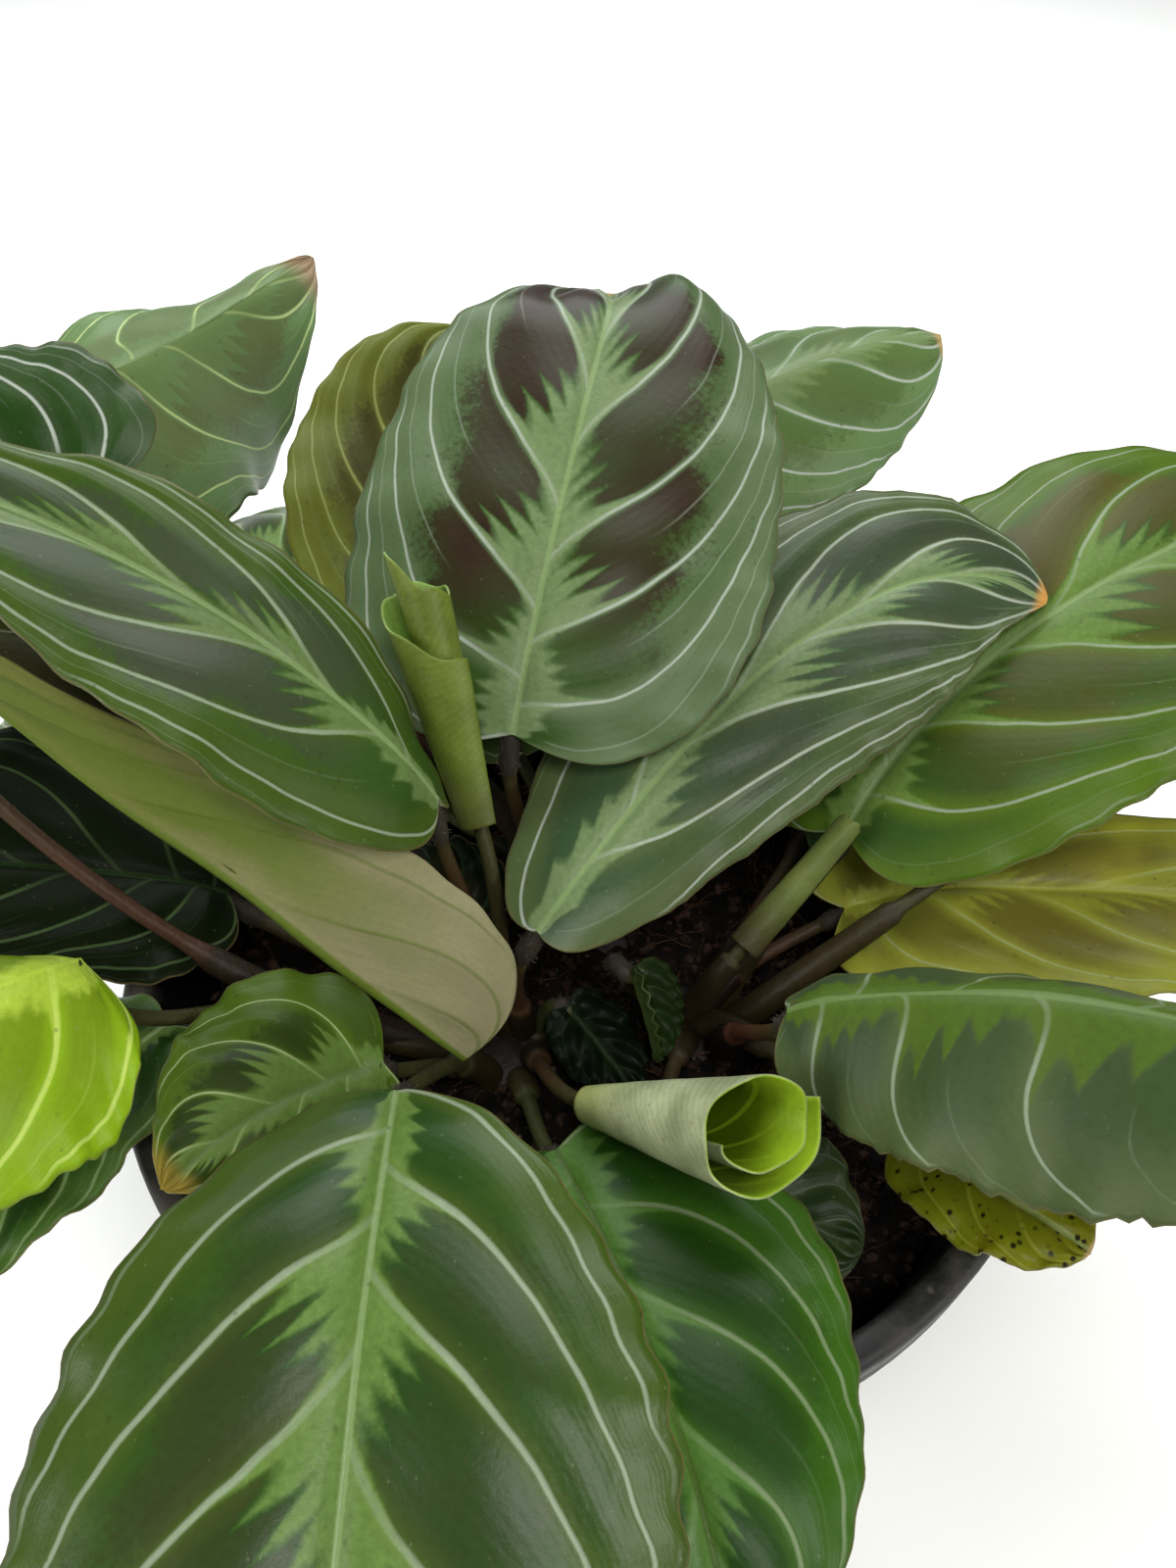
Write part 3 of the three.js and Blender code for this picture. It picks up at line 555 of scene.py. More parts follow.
LOOKS = {
    # The upper leaves that face the window, leaf_centre, leaf_right_long, leaf_right_near and
    # leaf_back_right, get greyish greens that are partly painted sheen.
    "leaf_centre": dict(outer="moss", deep="forest", feather="sage", vein="silver", rib="pea",
        blotch="umber", blotches=1.5, teeth=0.006, scallops=0.015, between=0.22,
        humps=((0.89, 0.62, 0.09, 0.3, 3.6), (0.93, 0.03, 0.06, 0.12, -1.6),
               (0.92, -0.45, 0.07, 0.12, -1.2))),
    "leaf_right_long": dict(outer="slate", deep="spruce", feather="sage", vein="silver", rib="pea",
        blotch="smoke", blotches=0.6, teeth=0.02, gloss=0.3, tip="b28343", tip_length=0.025, reach=0.09,
        veins=5.6, sweep=1.25),
    "leaf_left_long": dict(outer="fern", deep="forest", feather="leek", vein="mist", rib="pea",
        blotch="smoke", blotches=0.7, veins=5.2, sweep=1.1),
    "leaf_half_open": dict(outer="rind", deep="ink", feather="olive", vein="olive", rib="hay",
        blotch="rust", blotches=0.4, under="5c622a", under_pale="cress", under_tip="stone", streak=0.8,
        veins=6, gloss=0.45),
    "leaf_front": dict(outer="fern", deep="pine", feather="apple", vein="mist", rib="pea", blotch="peat",
        blotches=0.4, vein_width=0.46, gloss=0.34, shine=0.2, reach=0.08, scallops=0.03, between=0.0,
        veins=6.2),
    "leaf_front_right": dict(outer="2f5012", deep="pine", feather="clover", vein="6a7a58", rib="fern",
        blotch="ink", blotches=0.3, gloss=0.34, veins=5.6, shine=0.12, vein_width=0.4),
    # leaf_front_small lies low under the other leaves, and its dark greens are painted shade.
    "leaf_front_small": dict(outer="shade", deep="ink", feather="shade", vein="445242", rib="shade",
        blotch="ink", blotches=0.2, veins=6, vein_width=0.22, scallops=0.01, tip="shade"),
    "leaf_right_near": dict(outer="slate", deep="34432a", feather="grass", vein="mist", rib="leek",
        blotch="forest", blotches=0.3, teeth=0.04, ripple=0.5, gloss=0.4, vein_width=0.34, veins=5.6,
        sweep=1.0, lean=-0.12, spike=1.6, hug=0.5, reach=0.12, dots=0.25),
    "leaf_right_back": dict(outer="grass", deep="forest", feather="apple", vein="mist", rib="pea",
        blotch="rust", blotches=0.5, gloss=0.36, veins=6),
    "leaf_right_yellow": dict(outer="mustard", deep="5c5c20", feather="mustard", vein="straw",
        rib="mustard", blotch="rust", blotches=0.2, patch="93922a", patched=0.5, veins=5.6),
    "leaf_rim_yellow": dict(veins=5, outer="gold", deep="gold", feather="gold", vein="747a24",
        blotches=0.1, dots=1.0, patch="68600a", patched=0.4, blotch="peat", spots=1.0),
    "leaf_left_arched": dict(outer="meadow", deep="meadow", feather="leek", vein="lichen", rib="leek",
        blotch="rust", blotches=0.4, tip="8a745a", tip_length=0.08, veins=6),
    "leaf_left_dark": dict(outer="35492a", deep="pine", feather="forest", vein="frost", rib="fern",
        blotch="ink", blotches=0.4),
    "leaf_back_olive": dict(outer="5c6426", deep="olive", feather="8c9840", vein="straw", blotch="umber",
        blotches=0.6, shine=0.05),
    "leaf_back_right": dict(outer="meadow", deep="leek", feather="sage", vein="frost", rib="sage",
        blotch="forest", blotches=0.5, veins=6),
    # leaf_left_shaded lies in the shadow of the leaves above it, and its near-black colours are painted
    # shade.
    "leaf_left_shaded": dict(outer="night", deep="night", feather="night", vein="384a2a", rib="ink",
        blotch="night", blotches=0.2, shine=0.03),
    # leaf_left_bright is lit through from behind, and its bright lime and yellow-green colours are
    # painted glow.
    "leaf_left_bright": dict(outer="lime", deep="6a8416", feather="young", vein="b6cc62", rib="young",
        blotch="grass", blotches=0.0, veins=4.2, reach=0.15, spike=0.3, hug=0.3, vein_width=0.45),
    "leaf_left_front": dict(veins=5, outer="3e5a22", deep="pine", feather="apple", blotches=0.4,
        vein="pea", blotch="ink", spike=0.8),
    "leaf_front_left": dict(outer="grass", deep="fern", feather="apple", vein="96a672", rib="leek",
        blotch="night", blotches=0.6, tip="80702a", tip_length=0.08, vein_width=0.2, spike=1.5,
        reach=0.15, hug=0.3, veins=5.2),
    # The next three small leaves sit deep among the stalks, and their near-black colours are painted
    # shade.
    "leaf_narrow": dict(veins=5, outer="ink", deep="ink", feather="forest", blotches=0.0, vein="shade",
        rib="shade", margin="shade", dots=0.0, under="34421e", under_pale="34421e", under_tip="34421e",
        scallops=0.0, vein_width=0.15),
    "leaf_deep_front": dict(veins=5, outer="0a1208", deep="070e05", feather="101a0c", blotches=0.0,
        vein="182413", rib="1c2a16", shine=0.05, margin="0f190b", dots=0.0, under="141c0d",
        under_tip="141c0d", under_pale="141c0d", vein_width=0.15, scallops=0.0),
    "leaf_deep_left": dict(veins=5, outer="0a1208", deep="070e05", feather="121b0e", blotches=0.2,
        vein="1c2c16", rib="1c2a14", shine=0.05),
}
for order, leaf_name in enumerate(LEAVES):
    own = {key: TONES.get(value, value) for key, value in LOOKS.get(leaf_name, {}).items()}
    LOOKS[leaf_name] = {**PLAIN, **own, "seed": order}
print("leaf looks:", len(LOOKS))

# %% [markdown]
# A real blade is quilted: the panels between its side veins bulge, the rib lies in a groove
# above and stands out as a keel below, and the whole sheet undulates a little. All of that is
# real relief here, half a millimetre high, so it also catches the light in the outline.

# %% The relief of a blade
def blade_relief(look, rng, sheet, distance, t, x):
    """How far the quilted, rippled sheet stands out. It is calm at both ends of the rib."""
    side = (x > 0).astype(float)
    half = np.abs(x)
    panel = (vein_count(look, t, x) + look["shift"] * side) % 1
    quilt = look["quilt"] * np.abs(np.sin(math.pi * panel)) ** 1.3 * 3 * half * (1 - half)
    groove = -0.4 * np.exp(-(distance / 0.9) ** 2)
    ripple = np.sin(2 * math.pi * 8 * t + rng.uniform(0, 6) + 2.4 * side)
    ripple = look["ripple"] * half ** 5 * ripple
    humps = 0.0
    for t0, x0, dt, dx, height in look["humps"]:
        humps = humps + height * np.exp(-((t - t0) / dt) ** 2 - ((x - x0) / dx) ** 2)
    calm = np.clip(t / 0.08, 0, 1) * np.clip((1 - t) / 0.05, 0, 1)
    return (quilt + groove + ripple + humps + swell(rng, sheet, 26, 0.4)) * calm


# %% Build the blades
BROAD = 30
FINE_GRID = (112, 54)
SMALL_GRID = (64, 32)


def margin_cut(look, t, x):
    """The part of its half width that a blade loses to teeth and shallow scallops."""
    saw = np.abs((t * 34 + 0.4 * np.sin(40 * t)) % 1 - 0.5) * 2
    scallop = 0.5 + 0.5 * np.sin(2 * math.pi * (11 * t + 1.3 * t * t) + 1.9 * (x > 0))
    return look["teeth"] * saw * np.abs(x) ** 12 + look["scallops"] * scallop * np.abs(x) ** 5


def make_blade(name):
    leaf, look = LEAVES[name], LOOKS[name]
    rows, columns = FINE_GRID if leaf["width"] > BROAD else SMALL_GRID
    rng = np.random.default_rng(100 + look["seed"])
    t = (1 - np.cos(math.pi * np.linspace(0, 1, rows + 1))) / 2
    u = np.linspace(-1, 1, columns + 1)
    t, x = np.meshgrid(t, np.sign(u) * np.abs(u) ** 1.25, indexing="ij")
    sheet, distance = blade_sheet(leaf, t, x, 1 - margin_cut(look, t, x))
    out = outward(sheet)
    relief = blade_relief(look, rng, sheet, distance, t, x)
    thick = 0.44 - 0.2 * np.abs(x)
    keel = 0.5 * np.exp(-(distance / 0.8) ** 2) * np.sqrt(1 - t)
    upper = sheet + out * (relief + thick / 2)[..., None]
    lower = sheet + out * (relief - thick / 2 - keel)[..., None]
    faces, rim = sheet_faces(rows, columns)
    margin = distance[:, [0]] * (x < 0) + distance[:, [-1]] * (x >= 0)
    count = vein_count(look, t, x)
    values = dict(along=t, across=x, vein=count, rib=distance, edge=margin - distance)
    values["gap"] = np.minimum(vein_gap(sheet, count), 40)
    values = {key: np.concatenate([v.ravel(), v.ravel()]) for key, v in values.items()}
    values["under"] = np.repeat([0.0, 1.0], t.size)
    points = np.concatenate([upper.reshape(-1, 3), lower.reshape(-1, 3)])
    return make_mesh(name + "_blade", points, faces, rim, values)


# %% [markdown]
# The finish follows the veins. The pale feather hugs the tip side of each side vein and reaches
# out from there in three fingers, each shorter than the one before. The brown blotch starts at
# the feather's edge and frays outwards, and thin silvery lines run on to the margin. Fine lines
# beside the veins, specks, a brownish margin and a dry tip come last. The underside is paler and
# duller.

# %% The leaf finish
# Three fingers of the pale feather in each panel: where, how long and how wide they are.
FINGERS = ((0.24, 0.2, 0.13), (0.45, 0.15, 0.12), (0.66, 0.08, 0.11))
# Specks: the look that rules them, how many in a metre, their size and share, strength, colour.
SPECKS = (("dots", 520, 0.2, 0.25, 0.7, "2c2a14"), ("dots", 780, 0.16, 0.3, 0.12, "c8cdb0"),
          ("spots", 1000, 0.45, 0.5, 1.0, "1b1605"))
FINE_LINES = 9


def leaf_finish(name):
    look = LOOKS[name]
    made = Finish(name + "_finish")
    shift = (0.37 * look["seed"], 0.11 * look["seed"], 0)
    keys = ("along", "across", "rib", "edge", "under", "gap")
    t, x, rib, edge, under, gap = (made.attribute(key) for key in keys)
    half = abs(x)
    right = x.rising(-0.001, 0.001)
    wobble = made.cloud(70, 2.0, shift=shift) - 0.5
    fine = made.cloud(1100, 3.0, 0.65, shift=shift) - 0.5
    broad = made.cloud(28, 2.0, shift=shift) - 0.5
    count = made.attribute("vein") + look["shift"] * right + 0.12 * wobble
    panel = count.maths("FRACT")
    beside = panel.least(1 - panel)
    number = count.maths("FLOOR") + 17 * right + 3.7 * look["seed"]
    chance = made.node("ShaderNodeTexWhiteNoise", {"noise_dimensions": "1D"}, {"W": number})

    # How far from the rib the pale feather reaches, and the brown stain that starts there.
    hug = ((1 - panel / 0.26).most(0)) ** 2 + 0.5 * ((1 - (1 - panel) / 0.12).most(0)) ** 2
    reach = look["reach"] + look["hug"] * hug
    for place, length, spread in FINGERS:
        finger = (1 - abs(panel + 0.05 * (chance - 0.5) - place) / spread).most(0)
        reach = reach + look["spike"] * length * (0.6 + 0.8 * chance) * finger
    reach = reach + 0.12 * t.falling(0.05, 0.3)
    reach = reach + 0.05 * (chance - 0.5) + 0.12 * wobble + 0.04 * fine
    pale = (half - reach).falling(-0.075, 0.02)
    stain = (half - reach).rising(-0.01, 0.04) * beside.rising(0.02, 0.08) * t.rising(0.12, 0.32)
    stain = stain * (half + 0.8 * wobble + 0.35 * fine).falling(0.5, 0.68)
    stain = stain * (look["blotches"] * (0.7 + 0.5 * chance + 0.8 * broad)).least(1)

    # The green, the brown and the feather, with the veins and the rib on top.
    depth = beside.rising(0.0, 0.25) * (half + 0.5 * wobble + 0.3 * broad).falling(0.4, 0.95)
    color = made.blend(depth, look["outer"], look["deep"])
    cloudy = (0.5 + 3 * wobble).least(1).most(0)
    brown = made.blend(cloudy * 0.35, look["blotch"], look["deep"])
    color = made.blend(stain, color, brown)
    color = made.blend(pale * (0.75 + 0.5 * fine), color, look["feather"])
    width = look["vein_width"] * (1.15 - 0.5 * half)
    line = (beside * gap / width).falling(0.3, 1.3) * half.falling(0.9, 1.0)
    line = line * (0.35 + 0.65 * half.rising(0.1, 0.35))
    color = made.blend(line * 0.8, color, look["vein"])
    second = (abs(panel - 0.5) * gap / width).falling(0.2, 0.8) * half.rising(0.4, 0.6)
    color = made.blend(second * look["between"], color, look["vein"])
    color = made.blend(rib.falling(0.2, 0.55) * 0.8, color, look["rib"])
    color = made.blend((broad + wobble).rising(0.0, 0.4) * look["patched"], color, look["patch"])

    # Fine lines and lumps, the margin, specks and the dry tip.
    ribbing = (count * (2 * math.pi * FINE_LINES) + 3 * wobble).maths("SINE")
    color = made.scaled(color, 1 + 0.012 * ribbing + 0.22 * broad + 0.25 * fine)
    color = made.blend(edge.falling(0.08, 0.35) * 0.45, color, look["margin"])
    for key, scale, size, share, strength, speck_color in SPECKS:
        specks = made.specks(scale, size, share) * look[key]
        color = made.blend(specks * strength, color, speck_color)
    dry = (t + 0.03 * wobble).rising(1 - 1.6 * look["tip_length"], 1 - 0.4 * look["tip_length"])
    color = made.blend(dry, color, look["tip"])

    # The underside.
    below = made.blend(t.rising(0.35, 0.9), look["under"], look["under_tip"])
    streak = (half + 0.5 * wobble).near(0.45, 0.35) * t.falling(0.6, 0.95) * look["streak"]
    below = made.blend(pale * (1 - look["streak"]) * 0.6 + streak, below, look["under_pale"])
    below = made.blend(line * 0.5, below, look["under_pale"])
    below = made.blend(rib.falling(0.4, 0.9), below, look["under_pale"])
    below = made.scaled(below, 1 + 0.02 * ribbing + 0.3 * fine + 0.15 * wobble)
    color = made.blend(under, color, below)

    rough = look["gloss"] + 0.15 * under + 0.12 * fine + 0.1 * wobble + 0.1 * dry
    height = 0.03 * ribbing + 0.35 * fine + 0.5 * wobble - 0.8 * line * (1 - 2 * under)
    return made.surface(color, rough, height, 0.00018, 0.6, Specular_IOR_Level=look["shine"])


# %% Dress the open leaves
SLOTS = {piece["node"]: piece["material_slot"] for piece in frame["record"]["subparts"]}
for leaf_name in LEAVES:
    blade = make_blade(leaf_name)
    settle(blade, leaf_finish(leaf_name), SLOTS[leaf_name], leaf_name)
print("blades:", len(LEAVES))

# %% [markdown]
# A rolled young leaf shows its pale underside outside and its upper side in the mouth, painted dark
# for the shade deep in the roll and bright with a painted glow towards the open end.
# The side veins lie packed together and wrap round the roll as fine slanting bands.

# %% Build the rolls
def make_roll(name, rows=70, columns=110):
    roll = ROLLS[name]
    start, end = np.array(roll["start"], float), np.array(roll["end"], float)
    along = unit(end - start)
    length = np.linalg.norm(end - start)
    right = unit(np.cross(along, (0, 0, 1)))
    out = np.cross(right, along)
    t, u = np.meshgrid(np.linspace(0, 1, rows + 1), np.linspace(0, 1, columns + 1), indexing="ij")
    v = 1 - u
    angle = math.radians(roll["seam"]) + 2 * math.pi * roll["turns"] * v
    outer = roll["radius"][0] + (roll["radius"][1] - roll["radius"][0]) * t
    pitch = roll["pitch"][0] + (roll["pitch"][1] - roll["pitch"][0]) * t
    radius = outer - pitch * roll["turns"] * v
    slant = roll["slant"] * t * np.cos(angle - math.radians(roll["lip"]))
    height = length * t + slant + roll["rise"] * t * v
    rng = np.random.default_rng(7 + len(name))
    radius = radius + 0.12 * np.sin(angle * 3 + 5 * t) * t + 0.02 * np.sin(30 * t + 2 * angle)
    height = height + 0.35 * t ** 6 * np.sin(angle * 5 + rng.uniform(0, 6))
    sheet = start + along * height[..., None] + right * (radius * np.cos(angle))[..., None]
    sheet = sheet + out * (radius * np.sin(angle))[..., None]
    normal = outward(sheet)
    thick = 0.42 - 0.16 * t ** 4
    upper = sheet + normal * (thick / 2)[..., None]
    lower = sheet - normal * (thick / 2)[..., None]
    faces, rim = sheet_faces(rows, columns)
    outside = np.sum(normal * (sheet - start - along * height[..., None]), -1).mean() > 0
    values = {"along": np.tile(t.ravel(), 2), "across": np.tile(v.ravel(), 2)}
    values["under"] = np.repeat([1.0, 0.0] if outside else [0.0, 1.0], t.size)
    points = np.concatenate([upper.reshape(-1, 3), lower.reshape(-1, 3)])
    return make_mesh(name + "_leaf", points, faces, rim, values)


def roll_finish(name, outside, band, inside, painted_glow_and_veins, foot):
    made = Finish(name + "_finish")
    t, v, under = (made.attribute(key) for key in ("along", "across", "under"))
    wobble = made.cloud(160, 3.0) - 0.5
    fine = made.cloud(1300, 3.0, 0.6) - 0.5
    wraps = ((t * 2.2 + v * 3.1 + 0.1 * wobble) * (2 * math.pi * 11)).maths("SINE")
    veins = ((t * 2.2 + v * 3.1) * (2 * math.pi * 2.5)).maths("SINE").rising(0.8, 1.0)
    skin = made.blend((0.5 + 0.1 * wraps + 2.5 * wobble).least(1).most(0), outside, band)
    skin = made.blend(t.falling(0.0, 0.45), skin, foot)
    # Painted shade: the inside colour darkens the lining deep in the roll. Painted light: the glow colour
    # brightens it towards the open end, and also draws the veins.
    lining = made.blend((t + 0.3 * wobble).rising(0.7, 1.02), inside, painted_glow_and_veins)
    lining = made.blend(veins * 0.5, lining, painted_glow_and_veins)
    color = made.blend(under, lining, skin)
    color = made.scaled(color, 1 + 0.3 * fine + 0.25 * wobble)
    color = made.blend(made.specks(700, 0.2, 0.2) * 0.5, color, "5a5230")
    height = 0.04 * wraps + fine
    return made.surface(color, 0.42 + 0.15 * fine, height, 0.00012, 0.6, Specular_IOR_Level=0.2)


# The outside with its bands, the inside, painted dark for the shade deep in the roll, the painted
# glow at the open end, which also draws the lining's veins, and the foot.
ROLL_COLORS = {
    "roll_front": ("737a5a", "99a07e", "3a4f00", "7d9a1c", "8a9158"),
    "roll_upright": ("525f20", "64742c", "4a681c", "6f8c40", "4c5224"),
    "roll_new": ("4c5626", "5a6430", "566820", "77823c", "3a341e"),
}
for roll_name, colors in ROLL_COLORS.items():
    settle(make_roll(roll_name), roll_finish(roll_name, *colors), SLOTS[roll_name], roll_name)
print("rolls:", len(ROLL_COLORS))

# %% [markdown]
# A stalk leaves its rootstock wrapped in a sheath, runs on thin and bare, and swells to a hairy
# joint under the blade, with which the leaf folds at night. Each one is a tube swept along the
# same curve as in the CAD solid, with a ridge where the sheath's edges meet.

# %% Paths of the stalks
SOIL_TOP = 84.0
STEPS = 66
CROWNS = {"crown_left": (-12, -6), "crown_right": (15, -3), "crown_back": (1, 18)}


def stalk_path(piece, end, arrival):
    """A curve from the foot in the crown to the end, where it comes in along arrival."""
    x, y = CROWNS[piece["on"]]
    foot = np.array([x + piece["foot"][0], y + piece["foot"][1], SOIL_TOP - 6])
    distance = np.linalg.norm(end - foot)
    first = foot + np.array(piece["lift"]) * distance
    last = end - arrival * piece["reach"] * distance
    u = np.linspace(0, 1, STEPS + 1)[:, None]
    early = (1 - u) ** 3 * foot + 3 * u * (1 - u) ** 2 * first
    return early + 3 * u * u * (1 - u) * last + u ** 3 * end


def leaf_stalk(leaf):
    place, along, _, out = (np.asarray(part)[0] for part in midrib(leaf, np.array([0.0])))
    end = place - out * 1.8
    arrival = unit(along * 0.8 + out * leaf["approach"])
    path = stalk_path(leaf, end, arrival)
    return np.concatenate([path, [end + arrival * 0.7, place - out * 0.5 + along * 1.2]])


def roll_stalk(roll):
    start, stop = np.array(roll["start"], float), np.array(roll["end"], float)
    along = unit(stop - start)
    path = stalk_path(roll, start - along * 0.3, along)
    return np.concatenate([path, [start + along * 1.0, start + along * 3.0]])


# %% Sweep a stalk
SHEATH_AT_FOOT = 2.5
SHEATH_AT_TOP = 1.75
BARE = 1.12
SWELLING = 0.45
JOINT_FROM = 0.83


def stalk_radius(u, sheath_end, joint):
    """The stalk's radius at a part u of its length: sheath, bare stalk and swollen joint."""
    sheath = SHEATH_AT_FOOT + (SHEATH_AT_TOP - SHEATH_AT_FOOT) * np.clip(u / sheath_end, 0, 1)
    bare = BARE - 0.1 * u
    out_of_sheath = np.clip((u - sheath_end) / 0.012, 0, 1)
    radius = sheath + (bare - sheath) * out_of_sheath
    swollen = np.clip((u - JOINT_FROM) / 0.04, 0, 1) * np.clip((1.0 - u) / 0.03, 0, 1)
    return radius + joint * SWELLING * swollen ** 0.7


def tube(path, u, radius, sides, sheath, seam):
    """A closed tube along the path, with a ridge that winds round the sheath from its seam."""
    along = unit(np.gradient(path, axis=0))
    chord = path[-1] - path[0]
    sideways = np.cross(chord, (0, 0, 1.0))
    if np.linalg.norm(sideways) < 1:
        sideways = np.array([1.0, 0, 0])
    right = unit(sideways - along * (along @ sideways)[:, None])
    out = np.cross(right, along)
    angle = 2 * math.pi * np.arange(sides) / sides
    turn = np.abs((angle[None, :] - seam - 1.2 * u[:, None] + math.pi) % (2 * math.pi) - math.pi)
    wide = radius[:, None] * (1 + 0.14 * sheath[:, None] * np.exp(-(turn / 0.4) ** 2))
    ring = right[:, None] * np.cos(angle)[None, :, None] + out[:, None] * np.sin(angle)[None, :, None]
    points = path[:, None] + ring * wide[..., None]
    index = np.arange(points.shape[0] * sides).reshape(-1, sides)
    following = np.roll(index, -1, 1)
    a, b, c, d = index[:-1], following[:-1], following[1:], index[1:]
    faces = [list(face) for face in np.stack([a, d, c, b], -1).reshape(-1, 4)]
    faces.append(list(index[0]))
    faces.append(list(index[-1][::-1]))
    return points.reshape(-1, 3), faces


# %% [markdown]
# The rootstock is a knobbly plug between the stalks' feet. Its points are pushed in and out by
# noise, and its poles are closed by fans of faces.

# %% Rootstocks
def turned(profile, sides, push=None):
    """A closed body from a profile of (radius, height) pairs that starts and ends on the axis."""
    inner = profile[1:-1]
    angle = 2 * math.pi * np.arange(sides) / sides
    rings = [[(r * math.cos(a), r * math.sin(a), z) for a in angle] for r, z in inner]
    points = [(0, 0, profile[0][1])] + sum(rings, []) + [(0, 0, profile[-1][1])]
    if push is not None:
        points = [push(Vector(point)) for point in points]
    last = len(points) - 1
    faces = []
    for side in range(sides):
        following = (side + 1) % sides
        faces.append([0, 1 + following, 1 + side])
        for ring in range(len(inner) - 1):
            a, b = 1 + ring * sides + side, 1 + ring * sides + following
            faces.append([a, b, b + sides, a + sides])
        top = 1 + (len(inner) - 1) * sides
        faces.append([top + side, top + following, last])
    return np.array([tuple(point) for point in points]), faces


def rootstock(x, y):
    profile = [(0, 68), (6, 68.2), (8.4, 69.5), (9.3, 72), (9.4, 76), (9.3, 80), (8.6, 82.6),
               (7.4, 84), (5.6, 84.8), (3.6, 85.2), (1.6, 85.4), (0, 85.4)]

    def knobbly(point):
        lump = noise.noise(point * 0.35 + Vector((x, y, 0))) + 0.5 * noise.noise(point * 0.9)
        swollen = point + Vector((point.x, point.y, 0)) * 0.06 * lump
        return swollen + Vector((x, y, 0.5 * lump))

    return turned(profile, 40, knobbly)


# %% Build the crowns
def make_crown(name, sides=14):
    x, y = CROWNS[name]
    points, faces = rootstock(x, y)
    parts = [points]
    columns = {key: [np.zeros(len(points))] for key in ("along", "sheath", "joint", "tint")}
    total = len(points)
    rng = np.random.default_rng(len(name))
    grown = [(leaf_stalk(leaf), leaf, 1.0) for leaf in LEAVES.values() if leaf["on"] == name]
    grown += [(roll_stalk(roll), roll, 0.0) for roll in ROLLS.values() if roll["on"] == name]
    for path, piece, joint in grown:
        steps = np.linalg.norm(np.diff(path, axis=0), axis=1)
        u = np.concatenate([[0], np.cumsum(steps)]) / steps.sum()
        sheath_end = piece["sheathEnd"]
        radius = stalk_radius(u, sheath_end, joint)
        sheath = (u < sheath_end).astype(float)
        points, more = tube(path, u, radius, sides, sheath, rng.uniform(0, 6))
        parts.append(points)
        faces += [[corner + total for corner in face] for face in more]
        total += len(points)
        columns["along"].append(np.repeat(u, sides))
        columns["sheath"].append(np.repeat(sheath, sides))
        swollen = ((u > JOINT_FROM + 0.01) & (u < 0.99)).astype(float) * joint
        columns["joint"].append(np.repeat(swollen, sides))
        columns["tint"].append(np.full(len(points), rng.uniform()))
    values = {key: np.concatenate(rows) for key, rows in columns.items()}
    return make_mesh(name + "_stalks", np.concatenate(parts), faces, (), values)


# %% [markdown]
# Old sheaths are brown and papery, young stalks green or reddish, and the joints grey-brown
# under their hairs. Fine lines run along all of them.

# %% The stalk finish
def stalk_finish():
    made = Finish("stalk_finish")
    u, sheath, joint, tint = (made.attribute(key) for key in ("along", "sheath", "joint", "tint"))
    wobble = made.cloud(120, 3.0) - 0.5
    fine = made.cloud(900, 3.0, 0.6, stretch=(1, 1, 0.25)) - 0.5
    papery = made.blend(tint, "1c130b", "2c2511")
    young = made.blend(tint, "3a2014", "2c3218")
    young = made.blend(u.rising(0.5, 1.0) * 0.6, young, "383c20")
    color = made.blend(sheath, young, papery)
    color = made.blend(joint, color, "35302a")
    color = made.blend(u.falling(0.0, 0.22), color, "1c1510")
    color = made.scaled(color, 1 + 0.5 * wobble + 0.5 * fine)
    color = made.blend(made.specks(800, 0.25, 0.3) * 0.5, color, "2a1c12")
    height = fine + 0.6 * wobble
    return made.surface(color, 0.5 + 0.2 * fine, height, 0.0003, 0.7, Specular_IOR_Level=0.2)


crown_pieces = {}
stalk_material = stalk_finish()
for crown_name in CROWNS:
    crown_pieces[crown_name] = make_crown(crown_name)
    settle(crown_pieces[crown_name], stalk_material, "stalk", crown_name)
print("crowns:", list(crown_pieces))

# %% [markdown]
# Hairs, crumbs and fibres repeat hundreds of times, so Geometry Nodes scatter them. Each tree
# spreads points over the faces that an attribute marks, puts a small shape on every point, and
# ends in Realize Instances and Set Material, so that a plain mesh is left.

